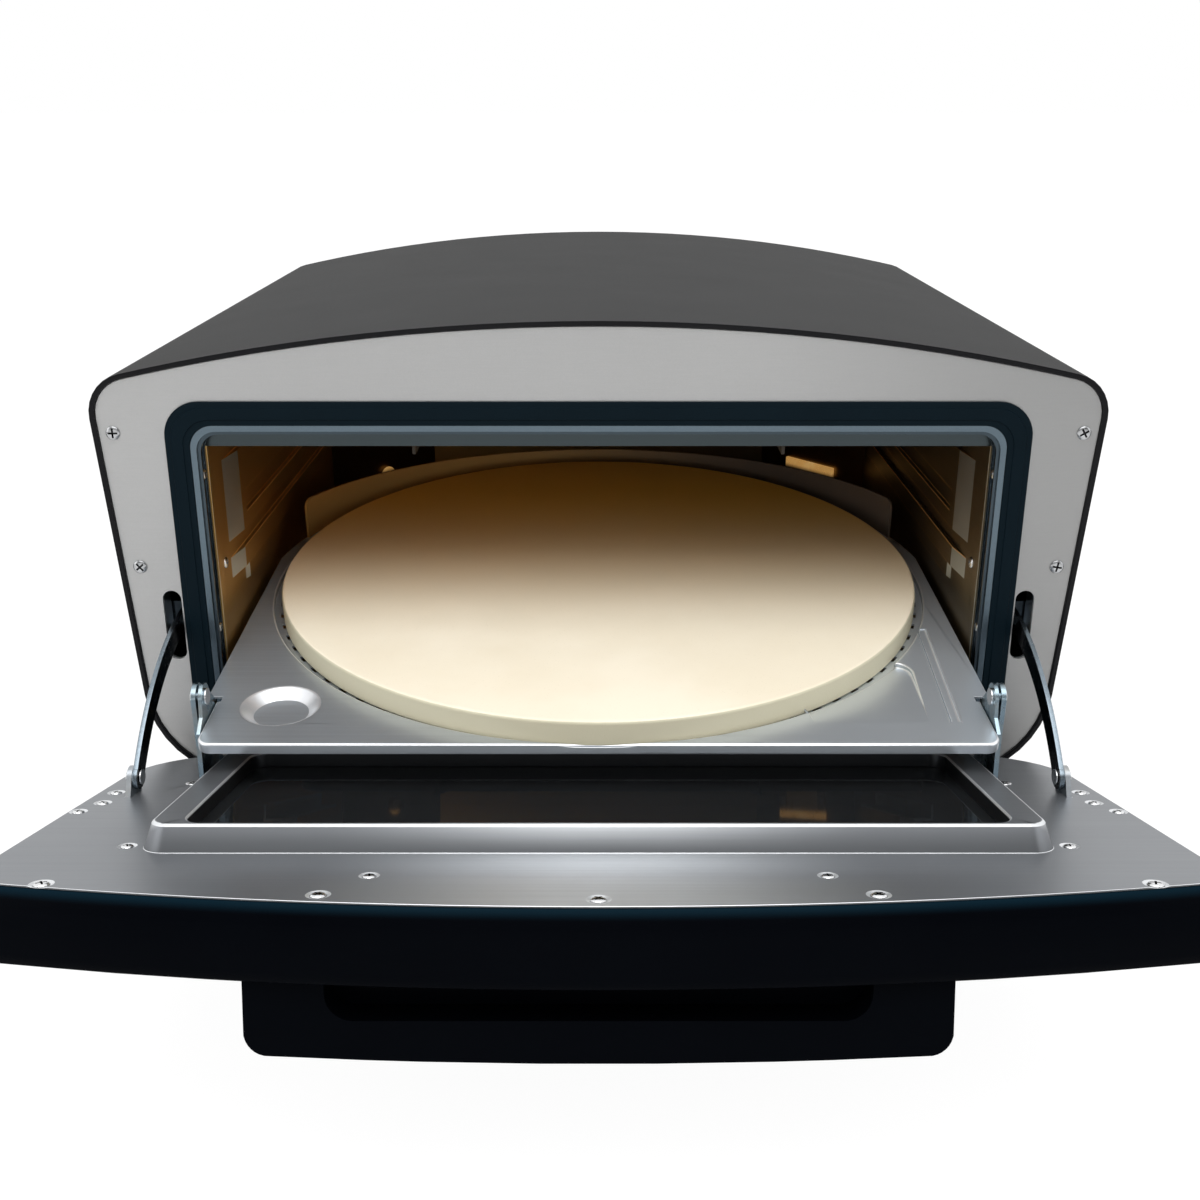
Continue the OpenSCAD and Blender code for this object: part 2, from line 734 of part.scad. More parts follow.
module push_button(x) {
    front = plinth_y - fascia_t - 3.2;
    back = 13 - button_travel;
    translate([x, front, control_z]) rotate([-90, 0, 0]) rotate_extrude()
        polygon([[0, 0.4], [button_d/2 - 2.5, 0.2], [button_d/2 - 0.8, 0], [button_d/2, 0.8],
                 [button_d/2, back], [0, back]]);
}

module power_button() {
    color("#2a2b2d") place() push_button(-button_x);
}

module light_button() {
    color("#2a2b2d") place() push_button(button_x);
}

// ---------------------------------------------------------------- casing fasteners and fittings

module plate_screws() {
    color("#c8cbce") place() both_sides() for (p = plate_screw_spots)
        translate([p[0], 0.6, p[1]]) screw(3, 0.9, 1.5, 8);
}

module cavity_screws() {
    color("#c8cbce") place() both_sides() {
        for (z = rim_screw_z) translate([mouth_half + 0.8, rim_screw_y, z])
            rotate([0, 0, -90]) screw(2.1, 1, 1.2, 5.2);
        translate([cavity_half, wall_screw[0], wall_screw[1]]) rotate([0, 0, -90]) screw(2.6, 0.9, 1.2, 6);
    }
}

module panel_screws() {
    color("#55585b") place() {
        both_sides() for (p = panel_screw_spots)
            translate([p[0], body_back - back_in, p[1]]) rotate([0, 0, 180]) screw(3.6, 1.4, 1.5, 8);
        translate([0, body_back - back_in, top_screw_z]) rotate([0, 0, 180]) screw(3.6, 1.4, 1.5, 8);
    }
}

module hinge_brackets() {
    color("#8a9197") place() both_sides() difference() {
        union() {
            along_x(ear_x - ear_t/2, ear_x + ear_t/2) {
                translate(hinge) circle(ear_r);
                translate([hinge[0], hinge[1] - ear_r]) square([plate_t + 2 - hinge[0], 2*ear_r]);
            }
            translate([ear_x - 12, plate_t, hinge[1] - 5.5]) cube([24, 2, 18]);
        }
        rod_x(ear_x - 5, ear_x + 5, hinge_pin_d/2 + pin_clear, hinge);
    }
}

module stay_guides() {
    color("#8a9197") place() both_sides() {
        difference() {
            along_y(plate_t, plate_t + guide_t)
                translate([cheek_in - 1, slot_z - slot_h/2 - 6])
                    square([cheek_out - cheek_in + guide_t + 2, slot_h + 12]);
            along_y(0, plate_t + guide_t + 1) stay_slot();
        }
        for (x = [cheek_in, cheek_out]) translate([x, plate_t + guide_t, slot_z - slot_h/2])
            cube([guide_t, tail_end[0] - 3.2 - plate_t - guide_t, slot_h]);
    }
}

// ---------------------------------------------------------------- door, drawn shut

module hinge_pockets(x0, x1, front) {
    both_sides() translate([x0, front, door_z - 5]) cube([x1 - x0, 40, hinge[1] + ear_r + 1.4 - door_z + 5]);
}

module window_cut(y0, y1) {
    along_y(y0, y1) soft_rect(-window_half, window_half, window_z, window_top, 8);
}

// bosses inside the door that hold the lining's screws
module screw_bosses(r, y0, y1) {
    for (x = [-1, 1], p = concat(big_screws, small_screws))
        if (p[0] > 0 || x > 0) rod_y(y0, y1, r, x*p[0], p[1]);
}

module door_shell() {
    color("#0c1016") in_door() difference() {
        union() {
            difference() {
                loft(shell_stations);
                loft([[-door_gap - lining_t + 1, 3.4 + door_wall], [-9, door_wall + 0.6],
                      [door_face + 6, door_wall + 0.6], [door_face + door_wall, door_wall + 4]]);
            }
            screw_bosses(4, door_face + 1.5, -door_gap - lining_t - 1.6);
        }
        screw_bosses(1.53, door_face + 10, 0);
        window_cut(door_face - 1, door_face + door_wall + 1);
        hinge_pockets(ear_x - 7, ear_x + 7, -16);
        both_sides() rod_y(door_face - 1, door_face + door_wall + 1, 2.1, leg_x, handle_z + bar_h/2);
    }
}

module frame_block(grow, y0, y1) {
    hull() {
        along_y(y0, y0 + 0.02)
            soft_rect(-frame_half - grow, frame_half + grow, frame_z - grow, frame_top + grow, 9 + grow);
        along_y(y1 - 0.02, y1)
            soft_rect(3 - frame_half - grow, frame_half - 3 + grow, frame_z + 3 - grow, frame_top - 3 + grow,
                      7 + grow);
    }
}

// a shallow dish pressed into the lining round a screw
module screw_dimple(p, r) {
    translate([p[0], -door_gap, p[1]]) rotate([90, 0, 0]) cylinder(h = dimple, r1 = r*1.45, r2 = r);
}

module door_lining() {
    color("#8d9196") in_door() difference() {
        union() {
            along_y(-door_gap - lining_t, -door_gap) face(lining_inset, door_z);
            frame_block(0, -door_gap - 0.01, frame_h - door_gap);
        }
        difference() {
            frame_block(-lining_t, -door_gap - lining_t - 0.5, frame_h - door_gap - lining_t);
            along_y(inner_glass_t/2 - 0.3, frame_h)
                soft_rect(-window_half - lining_t, window_half + lining_t, window_z - lining_t,
                          window_top + lining_t, 8 + lining_t);
        }
        window_cut(-door_gap - 2, frame_h + 1);
        both_sides() {
            translate([ear_x - ear_t/2 - 1, -door_gap - 2, door_z - 1])
                cube([ear_t + 2, 4, hinge[1] + ear_r + 2.3 - door_z]);
            translate([arm_x - 0.15, -door_gap - 2, arm_foot_z[0] - 0.2])
                cube([arm_t + 0.3, 4, arm_foot_z[1] - arm_foot_z[0] + 0.4]);
            translate([lug_x - 0.15, -door_gap - 2, lug_z - 7.2]) cube([2.3, 4, 14.4]);
            for (p = concat(big_screws, small_screws, [arm_screw])) rod_y(-door_gap - 2, 0, 1.55, p[0], p[1]);
            for (p = big_screws) screw_dimple(p, 2.8);
            for (p = small_screws) screw_dimple(p, 2.4);
        }
    }
}

module pane(top) {
    soft_rect(-window_half - glass_lap, window_half + glass_lap, window_z - glass_lap, top, 4);
}

module door_inner_glass() {
    color("#20262c") in_door() along_y(-inner_glass_t/2 - 0.3, inner_glass_t/2 - 0.3)
        pane(frame_top - 2.8);
}

module door_outer_glass() {
    color("#15181b") in_door() along_y(door_face + door_wall, door_face + door_wall + outer_glass_t)
        pane(window_top + glass_lap);
}

module glass_clips() {
    in_pane = -inner_glass_t/2 - 0.3;
    out_pane = door_face + door_wall + outer_glass_t;
    color("#8a9197") in_door() both_sides() for (z = [window_z + 22, window_top - 26]) {
        translate([window_half + 2, -door_gap - lining_t - 1.2, z]) cube([frame_w + 5.5, 1.2, 12]);
        translate([window_half + 2, -door_gap - lining_t, z])
            cube([glass_lap - 1, in_pane + door_gap + lining_t, 12]);
        translate([window_half + 2, out_pane, z]) cube([glass_lap + 8, 1.2, 12]);
        translate([window_half + glass_lap + 1, door_face + door_wall, z]) cube([4, outer_glass_t, 12]);
    }
}

module handle_plan() {
    intersection() {
        translate([0, door_face - handle_out]) soft_rect(-handle_w/2, handle_w/2, 0, handle_out + 8, 6);
        translate([0, door_face - handle_out + bow_r]) circle(bow_r, $fn = 720);
        translate([-handle_w, door_face - 60]) square([2*handle_w, 60]);
    }
}

module door_handle() {
    color("#0b0b0c") in_door() translate([0, 0, handle_z]) difference() {
        linear_extrude(bar_h) handle_plan();
        translate([0, door_face - handle_out + bar_t, pocket_floor]) linear_extrude(bar_h)
            soft_rect(leg_w - handle_w/2, handle_w/2 - leg_w, 0, handle_out, 9);
        both_sides() rod_y(door_face - 14, door_face + 1, 2, leg_x, bar_h/2);
    }
}

module handle_screws() {
    color("#c8cbce") in_door() both_sides() {
        rod_y(door_face - 14, door_face + door_wall, 2, leg_x, handle_z + bar_h/2);
        rod_y(door_face + door_wall, door_face + door_wall + 2.4, 4, leg_x, handle_z + bar_h/2);
    }
}

module hinge_lugs() {
    back = -door_gap - lining_t;
    color("#8a9197") in_door() both_sides() difference() {
        union() {
            for (x = [ear_x - ear_t/2 - 1.3 - lug_t, ear_x + ear_t/2 + 1.3])
                translate([x, hinge[0] - ear_r, hinge[1] - 3.4]) cube([lug_t, back - hinge[0] + ear_r, 16]);
            translate([ear_x - ear_t/2 - 1.3 - lug_t, back - 1.5, hinge[1] + ear_r + 2])
                cube([ear_t + 2.6 + 2*lug_t, 1.5, 12]);
        }
        rod_x(ear_x - 10, ear_x + 10, hinge_pin_d/2, hinge);
    }
}

module hinge_pins() {
    color("#c8cbce") in_door() both_sides()
        rod_x(ear_x - ear_t/2 - 1.3 - lug_t, ear_x + ear_t/2 + 1.3 + lug_t, hinge_pin_d/2, hinge);
}

module drive_arm() {
    root = -door_gap - lining_t;
    color("#8fa0ab") in_door() difference() {
        union() {
            along_x(arm_x, arm_x + arm_t) {
                translate(arm_shut) circle(5.5);
                polygon([[root, arm_foot_z[0]], [2, arm_foot_z[0]], [16, arm_foot_z[0] + 9],
                         arm_shut + [2.6, -4.85], arm_shut + [-1.6, 5.26], [12, arm_foot_z[1] + 2.4],
                         [root, arm_foot_z[1]]]);
            }
            translate([arm_x, root - 1.5, arm_foot_z[0]]) cube([9.5, 1.5, arm_foot_z[1] - arm_foot_z[0]]);
        }
        rod_x(arm_x - 1, arm_x + arm_t + 1, link_pin_d/2 + pin_clear, arm_shut);
        rod_y(root - 3, root + 1, 1.55, arm_screw[0], arm_screw[1]);
    }
}

module drive_arm_left() {
    mirror([1, 0, 0]) drive_arm();
}

module drive_arm_right() {
    drive_arm();
}

module stay_lugs() {
    root = -door_gap - lining_t;
    color("#8a9197") in_door() both_sides() difference() {
        union() {
            along_x(lug_x, lug_x + 2) {
                translate(stay_shut) circle(4.5);
                polygon([[root, lug_z - 7], [stay_shut[0] + 1, lug_z - 4.4], [stay_shut[0] + 1, lug_z + 4.4],
                         [root, lug_z + 7]]);
            }
            translate([lug_x, root - 1.5, lug_z - 7]) cube([side_x - 6.6 - lug_x, 1.5, 26]);
        }
        rod_x(lug_x - 1, lug_x + 3, link_pin_d/2, stay_shut);
        for (z = [lug_z, lug_z + 15]) rod_y(root - 3, root + 1, 1.55, side_x - 10.6, z);
    }
}

module stay_pins() {
    color("#c8cbce") in_door() both_sides() {
        rod_x(stay_x - 0.1, lug_x + 2, link_pin_d/2, stay_shut);
        rod_x(stay_x - 0.9, stay_x - 0.1, link_pin_d/2 + 1.2, stay_shut);
        rod_x(lug_x + 2, lug_x + 2.9, link_pin_d/2 + 1, stay_shut);
    }
}

// a screw of the lining, its head seated at the given depth
module lining_screw(p, deep, r, head, len) {
    translate([p[0], -door_gap - deep, p[1]]) rotate([0, 0, 180]) screw(r, head, 1.5, len);
}

module door_screws() {
    color("#d5d8da") in_door() {
        lining_screw(big_screws[0], dimple, 2.6, 0.9, 11);
        both_sides() {
            for (p = [big_screws[1], big_screws[2]]) lining_screw(p, dimple, 2.6, 0.9, 11);
            for (p = small_screws) lining_screw(p, dimple, 2.2, 0.8, 7);
            lining_screw(arm_screw, 0, 2.6, 0.6, 4);
        }
    }
}

// ---------------------------------------------------------------- tray, drawn flat

module tray_plan() {
    r = guard_r + guard_t + 0.6;
    edge = hem_r + 0.8;
    intersection() {
        union() {
            translate([-tray_half, tray_front + neck_len]) square([2*tray_half, 2*r]);
            soft_rect(edge - neck_half, neck_half - edge, tray_front + edge, tray_front + neck_len + 12,
                      hem_corner - edge);
        }
        union() {
            circle(r, $fn = 180);
            translate([-tray_half - 1, tray_front - 1]) square([2*tray_half + 2, 1 - tray_front]);
        }
    }
}

// section of the rolled hem and the lip under it, hung from the tray's edge at x = 0
module hem_section() {
    translate([-hem_r, -hem_r]) circle(hem_r);
    translate([-tray_t, -tray_lip_h]) square([tray_t, tray_lip_h - hem_r]);
    translate([-hem_r - 2, -tray_t]) square([2, tray_t]);
}

module tray_hem() {
    side = neck_len - 4 - hem_corner;
    translate([hem_corner - neck_half, tray_front, face_h]) rotate([90, 0, 90]) mirror([1, 0, 0])
        linear_extrude(2*(neck_half - hem_corner)) hem_section();
    both_sides() translate([neck_half - hem_corner, tray_front + hem_corner, face_h]) {
        rotate([0, 0, -90]) rotate_extrude(angle = 90) translate([hem_corner, 0]) hem_section();
        translate([hem_corner, side, 0]) rotate([90, 0, 0]) linear_extrude(side) hem_section();
    }
}

// the finger notch beside the stone in plan, open towards the recess
module notch_plan(g) {
    c = [notch_x[1] - 8, notch_s[1] - 8];
    polygon(concat([[notch_x[0] - 3 - g, notch_s[0] + 18], [notch_x[0] - g, notch_s[0] + 9],
        [notch_x[0] + 3.6 - g, notch_s[0] - 1 - g], [notch_x[1] - 1 + g, notch_s[0] - 1 - g]],
        [for (a = [0:15:90]) c + (8 + g)*[cos(a), sin(a)]], [[notch_x[1] - 20, notch_s[1] + g]]));
}

// the notch's solid: its floor slopes up to the front, at the given depth below the tray's face
module notch(g, deep, top) {
    intersection() {
        translate([0, 0, face_h - 20]) linear_extrude(40) notch_plan(g);
        along_x(notch_x[0] - 10, notch_x[1] + 10)
            polygon([[notch_s[0] - 2, face_h - deep + 0.1], [notch_s[1] + 2, face_h - deep - notch_drop],
                     [notch_s[1] + 2, face_h + top], [notch_s[0] - 2, face_h + top]]);
    }
}

module stone_tray() {
    color("#85898e") in_tray() difference() {
        union() {
            translate([0, 0, face_h - tray_t]) linear_extrude(tray_t) tray_plan();
            translate([0, recess_s, face_h - tray_t - recess_drop])
                cylinder(h = recess_drop, r = recess_r + tray_t, $fn = 180);
            tray_hem();
            translate([-stone_r*0.86, -stone_r*0.81, face_h - 5]) cylinder(h = 4.5, r1 = 12.3, r2 = 17.2);
            notch(1, tray_t, -0.3);
        }
        translate([0, recess_s, face_h - recess_drop]) cylinder(h = 10, r = recess_r, $fn = 180);
        translate([-stone_r*0.86, -stone_r*0.81, face_h - 4]) cylinder(h = 4.01, r1 = 11.3, r2 = 16.2);
        notch(0, 0, 5);
        translate([neck_half - 14.3, notch_s[0], face_h - 0.5]) rotate([0, 0, -2.7]) translate([-1.9, 0, 0])
            cube([3.8, notch_s[1] - notch_s[0] + 33, 2]);
        translate([0, recess_s, face_h - recess_drop - tray_t - 1]) for (a = [0:slot_step:359])
            rotate([0, 0, a]) translate([stone_r - 4.4, -2.5, 0]) cube([6.5, 5, tray_t + 2]);
    }
}

module rear_guard() {
    top_r = 5;
    end_a = guard_span - top_r/guard_r*180/PI;
    end_h = level_h(stone_z + guard_rise, guard_r*cos(end_a)) - top_r;
    color("#57524c") in_tray() difference() {
        intersection() {
            translate([0, 0, face_h]) rotate([0, 0, 90 - guard_span])
                rotate_extrude(angle = 2*guard_span, $fn = 180) translate([guard_r, 0]) square([guard_t, 40]);
            rotate([-tray_tilt, 0, 0]) translate([-stone_d, -stone_d, -80])
                cube([2*stone_d, 2*stone_d, 80 + guard_rise]);
        }
        both_sides() rotate([0, 0, 90 - end_a]) translate([guard_r - 2, 0, end_h]) difference() {
            translate([0, -9, 0]) cube([5, 9, 15]);
            rotate([0, 90, 0]) cylinder(h = 5, r = top_r);
        }
    }
}

module tray_brackets() {
    color("#8fa0ab") in_tray() both_sides() difference() {
        along_x(bracket_x, bracket_x + bracket_t) {
            translate([pin_s, 0]) circle(5.5);
            polygon([[pin_s - 5.5, 0], [pin_s - 7, face_h + 3], [tray_front + 9, face_h - tray_t],
                     [tray_front + 9, face_h - tray_lip_h], [pin_s + 14, face_h - tray_lip_h],
                     [pin_s + 14, face_h - tray_t], [pin_s + 5.5, 0]]);
        }
        rod_x(bracket_x - 1, bracket_x + 3, link_pin_d/2, [pin_s, 0]);
    }
}

module tray_pins() {
    color("#c8cbce") in_tray() both_sides() {
        rod_x(bracket_x - 1, bracket_x, link_pin_d/2 + 1.5, [pin_s, 0]);
        rod_x(bracket_x, arm_x + arm_t + 0.1, link_pin_d/2, [pin_s, 0]);
        rod_x(arm_x + arm_t + 0.1, arm_x + arm_t + 0.8, link_pin_d/2 + 1.5, [pin_s, 0]);
    }
}

function level_h(z, s) = (z - stone_z - s*sin(tray_tilt))/cos(tray_tilt);

module tray_runners() {
    color("#9da1a4") in_tray() both_sides() along_x(tray_half - 0.4 - runner_w, tray_half - 0.4)
        polygon([[runner_s[0], face_h - tray_t], [runner_s[1], face_h - tray_t],
                 [runner_s[1], level_h(ledge_z + runner_gap, runner_s[1])],
                 [runner_s[0] + 4, level_h(ledge_z + runner_gap, runner_s[0] + 4)],
                 [runner_s[0], level_h(ledge_z + runner_gap + 2.5, runner_s[0])]]);
}

module pizza_stone() {
    base = 0.2 - stone_t;
    color("#ead9b8") in_tray() rotate_extrude($fn = 180)
        polygon([[0, base], [stone_r - 1.2, base], [stone_r, base + 1.2], [stone_r, -1.6],
                 [stone_r - 0.5, -0.5], [stone_r - 1.6, 0], [0, 0]]);
}

// ---------------------------------------------------------------- stays, drawn open

module stay_arm() {
    color("#5b6c7a") place() difference() {
        union() {
            translate([stay_x, 0, 0]) rotate([90, 0, 90]) {
                translate([stay_c[0], stay_c[1], 0]) rotate([0, 0, stay_a1])
                    rotate_extrude(angle = stay_a0 - stay_a1, $fn = 180)
                        translate([stay_r - stay_w/2, 0]) square([stay_w, stay_t]);
                translate([stay_open[0], stay_open[1], 0]) cylinder(h = stay_t, r = stay_w/2 + 0.5);
            }
            translate([slot_x, tail_end[0], tail_end[1]]) rotate([stay_a1 - 90, 0, 0])
                cube([cheek_out - cheek_in + guide_t, 3, 11], center = true);
        }
        rod_x(stay_x - 1, stay_x + stay_t + 1, link_pin_d/2 + pin_clear, stay_open);
    }
}

module stay_arm_left() {
    mirror([1, 0, 0]) stay_arm();
}

module stay_arm_right() {
    stay_arm();
}

outer_shell();
front_plate();
door_gasket();
cavity_rim();
oven_cavity();
corner_panels();
insulation_blanket();
back_panel();
base_plinth();
base_pan();
control_fascia();
rubber_feet();
upper_heaters();
lower_heaters();
heater_terminals();
heater_brackets();
lamp_frame();
lamp_lens();
lamp_bulb();
temperature_sensor();
tray_ledges();
thermostat_body();
timer_body();
switch_bodies();
indicator_lens();
cord_gland();
plate_screws();
cavity_screws();
panel_screws();
hinge_brackets();
stay_guides();
door_shell();
door_lining();
door_inner_glass();
door_outer_glass();
glass_clips();
door_handle();
handle_screws();
hinge_lugs();
hinge_pins();
drive_arm_left();
drive_arm_right();
stay_lugs();
stay_pins();
door_screws();
stone_tray();
rear_guard();
tray_brackets();
tray_pins();
tray_runners();
pizza_stone();
stay_arm_left();
stay_arm_right();
temperature_knob();
temperature_shaft();
timer_knob();
timer_shaft();
power_button();
light_button();
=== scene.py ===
import json
import math

import bmesh
import bpy
from mathutils import Matrix, Vector

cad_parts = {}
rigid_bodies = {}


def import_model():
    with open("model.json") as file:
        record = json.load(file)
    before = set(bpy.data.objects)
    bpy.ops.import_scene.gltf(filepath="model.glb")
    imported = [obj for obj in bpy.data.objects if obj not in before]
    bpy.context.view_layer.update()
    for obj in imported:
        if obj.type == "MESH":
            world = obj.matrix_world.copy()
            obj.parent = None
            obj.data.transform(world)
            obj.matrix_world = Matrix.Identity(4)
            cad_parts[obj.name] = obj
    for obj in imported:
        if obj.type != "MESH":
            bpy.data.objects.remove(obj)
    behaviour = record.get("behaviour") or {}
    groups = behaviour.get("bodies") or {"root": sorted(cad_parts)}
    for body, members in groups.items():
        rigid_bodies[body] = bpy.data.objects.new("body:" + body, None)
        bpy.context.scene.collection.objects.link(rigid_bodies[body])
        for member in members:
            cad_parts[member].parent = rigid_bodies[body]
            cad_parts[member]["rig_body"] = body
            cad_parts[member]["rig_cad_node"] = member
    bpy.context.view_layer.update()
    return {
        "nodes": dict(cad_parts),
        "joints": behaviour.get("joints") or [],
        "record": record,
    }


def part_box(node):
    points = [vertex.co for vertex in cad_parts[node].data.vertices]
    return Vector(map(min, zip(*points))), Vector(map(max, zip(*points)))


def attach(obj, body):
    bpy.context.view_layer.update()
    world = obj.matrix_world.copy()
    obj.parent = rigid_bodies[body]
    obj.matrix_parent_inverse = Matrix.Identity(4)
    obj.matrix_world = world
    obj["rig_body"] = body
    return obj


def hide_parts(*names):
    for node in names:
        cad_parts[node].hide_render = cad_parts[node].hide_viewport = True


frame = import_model()
nodes = frame["nodes"]
bodyOf = {n: body for body, members in frame["record"]["behaviour"]["bodies"].items() for n in members}
slotOf = {part["node"]: part["material_slot"] for part in frame["record"]["subparts"]}
print("frame loaded:", len(nodes), "nodes")

# the open door's outward direction, its direction away from the hinge, and the tray's upward direction
doorHinge = next(j for j in frame["joints"] if j["name"] == "door_hinge")
hingeTurn = math.radians(doorHinge["range_deg"][1])
hingePlace = Vector(doorHinge["pos_m"])
doorOut = Vector((0, math.cos(hingeTurn), math.sin(hingeTurn)))
doorAlong = Vector((0, -math.sin(hingeTurn), math.cos(hingeTurn)))
trayTilt = math.radians(4.93)  # the tray's slope, which it keeps
trayUp = Vector((0, -math.sin(trayTilt), math.cos(trayTilt)))

# camera: the photograph's own viewpoint
camera = {"place": (0.0, -0.64116, 0.36603), "pitchDown": 20.36, "lens": 40.816, "sensor": 36.0, "shiftX": 0.00125}


def addCamera(spec):
    data = bpy.data.cameras.new("camera")
    data.lens = spec["lens"]
    data.sensor_width = spec["sensor"]
    data.shift_x = spec["shiftX"]
    data.clip_start = 0.01
    obj = bpy.data.objects.new("camera", data)
    obj.location = spec["place"]
    obj.rotation_euler = (math.radians(90 - spec["pitchDown"]), 0, 0)
    bpy.context.scene.collection.objects.link(obj)
    bpy.context.scene.camera = obj


addCamera(camera)
bpy.context.scene.view_settings.view_transform = "Standard"


# shader maths
class Value:  # a shader socket that can be added, multiplied and so on
    def __init__(self, paint, socket):
        self.paint = paint
        self.socket = socket

    def maths(self, operation, a, b=None):
        return self.paint.node("Math", {"operation": operation}, {0: a} if b is None else {0: a, 1: b})

    def __add__(self, other):
        return self.maths("ADD", self, other)

    def __radd__(self, other):
        return self.maths("ADD", other, self)

    def __sub__(self, other):
        return self.maths("SUBTRACT", self, other)

    def __rsub__(self, other):
        return self.maths("SUBTRACT", other, self)

    def __mul__(self, other):
        return self.maths("MULTIPLY", self, other)

    def __abs__(self):
        return self.maths("ABSOLUTE", self)


class Paint:  # one material and the nodes that make it
    def __init__(self, name, **plain):
        self.material = bpy.data.materials.new(name)
        self.material.use_nodes = True
        self.tree = self.material.node_tree
        self.tree.nodes.clear()
        self.out = self.tree.nodes.new("ShaderNodeOutputMaterial")
        self.shader = self.tree.nodes.new("ShaderNodeBsdfPrincipled")
        self.tree.links.new(self.shader.outputs[0], self.out.inputs[0])
        for key, value in plain.items():
            self.shader.inputs[key.replace("_", " ")].default_value = value
        self.coords = self.node("TexCoord", out="Object")
        self.x, self.y, self.z = (self.node("SeparateXYZ", {}, {0: self.coords}, out=i) for i in range(3))

    def node(self, kind, settings=None, sockets=None, out=0):
        made = self.tree.nodes.new("ShaderNode" + kind)
        for key, value in (settings or {}).items():
            setattr(made, key, value)
        for key, value in (sockets or {}).items():
            self.feed(made.inputs[key], value)
        return Value(self, made.outputs[out])

    def feed(self, socket, value):
        if isinstance(value, Value):
            self.tree.links.new(value.socket, socket)
        else:
            socket.default_value = value

    def noise(self, scale, detail=3.0, rough=0.5, stretch=(1, 1, 1)):
        place = self.node("Mapping", {}, {"Vector": self.coords, "Scale": stretch})
        return self.node("TexNoise", {}, {"Vector": place, "Scale": scale, "Detail": detail, "Roughness": rough})

    def cells(self, scale):
        return self.node("TexVoronoi", {}, {"Vector": self.coords, "Scale": scale})

    def between(self, value, low, high, a=0.0, b=1.0):
        return self.node("MapRange", {"interpolation_type": "SMOOTHSTEP"},
                         {"Value": value, "From Min": low, "From Max": high, "To Min": a, "To Max": b})

    def facing(self, axis):  # 1 where the surface looks along the axis, -1 where it looks back
        normal = self.node("TexCoord", out="Normal")
        return self.node("VectorMath", {"operation": "DOT_PRODUCT"}, {0: normal, 1: tuple(axis)}, out=1)

    def reach(self, axis, start):  # distance along the axis from the starting place
        place = self.node("VectorMath", {"operation": "SUBTRACT"}, {0: self.coords, 1: tuple(start)})
        return self.node("VectorMath", {"operation": "DOT_PRODUCT"}, {0: place, 1: tuple(axis)}, out=1)

    def band(self, value, low, high, soft):  # 1 between low and high
        return self.between(value, low - soft, low + soft) * self.between(value, high - soft, high + soft, 1.0, 0.0)

    def mix(self, factor, a, b):
        ends = {6: a if isinstance(a, Value) else (*a, 1), 7: b if isinstance(b, Value) else (*b, 1)}
        return self.node("Mix", {"data_type": "RGBA"}, {0: factor, **ends}, out=2)

    def bump(self, height, strength, distance):
        normal = self.node("Bump", {}, {"Height": height, "Strength": strength, "Distance": distance})
        self.feed(self.shader.inputs["Normal"], normal)

    def set(self, **values):
        for key, value in values.items():
            if isinstance(value, tuple) and len(value) == 3:
                value = (*value, 1)
            self.feed(self.shader.inputs[key.replace("_", " ")], value)
        return self.material


frontBand = {"start": 0.0002, "end": 0.0009, "colour": (0.004, 0.004, 0.005), "rough": 0.18}


def powderCoat(name, colour, rough, edge, gloss):
    # fine orange peel over a faint mottle; edge is the Y of the sheet's front edge, which is glossy black
    p = Paint(name, Specular_IOR_Level=gloss)
    mottle = p.noise(26, 4)
    grain = p.noise(2600, 2, 0.6)
    tint = p.mix(p.between(mottle, 0.3, 0.7), tuple(c * 0.93 for c in colour), tuple(c * 1.07 for c in colour))
    roughness = rough + (grain - 0.5) * 0.16 + (mottle - 0.5) * 0.08
    front = p.between(p.y, edge + frontBand["start"], edge + frontBand["end"], 1.0, 0.0)
    tint = p.mix(front, tint, frontBand["colour"])
    roughness = roughness * (1 - front) + front * frontBand["rough"]
    p.bump(grain * 0.6 + p.noise(900, 2) * 0.4, 0.32, 0.00025)
    return p.set(Base_Color=tint, Roughness=roughness)


platePaintedLight = {"edge": (0.95, 0.95, 0.95), "darker": (0.04, 0.2)}


def satinPlate(name, colour, rough):
    # bead-blasted plate: an even fine grain with hardly any direction, with painted shade to the right and a painted
    # highlight at its edges
    p = Paint(name, Metallic=0.9)
    grain = p.noise(3800, 2, 0.6)
    lines = p.noise(1, 3, 0.6, (60, 1500, 1500))
    cloud = p.noise(9, 4)
    tint = p.mix(p.between(grain * 0.5 + lines * 0.2 + cloud * 0.3, 0.38, 0.62), tuple(c * 0.96 for c in colour),
                 tuple(c * 1.04 for c in colour))
    # painted shade toward the plate's right
    tint = p.mix(p.between(p.x, *platePaintedLight["darker"]) * 0.5, tint, tuple(c * 0.55 for c in colour))
    # painted highlight on the plate's edges and slot walls
    tint = p.mix(p.between(abs(p.facing((0, 1, 0))), 0.55, 0.95), platePaintedLight["edge"], tint)
    p.bump(grain * 0.7 + lines * 0.3, 0.08, 0.0001)
    return p.set(Base_Color=tint, Roughness=rough + (grain - 0.5) * 0.1 + (cloud - 0.5) * 0.06)


# spans of painted shade on the rim
rimDepths = {"lip": (0.0012, 0.0016), "headerShade": (0.0079, 0.0081)}  # behind the shell's front edge


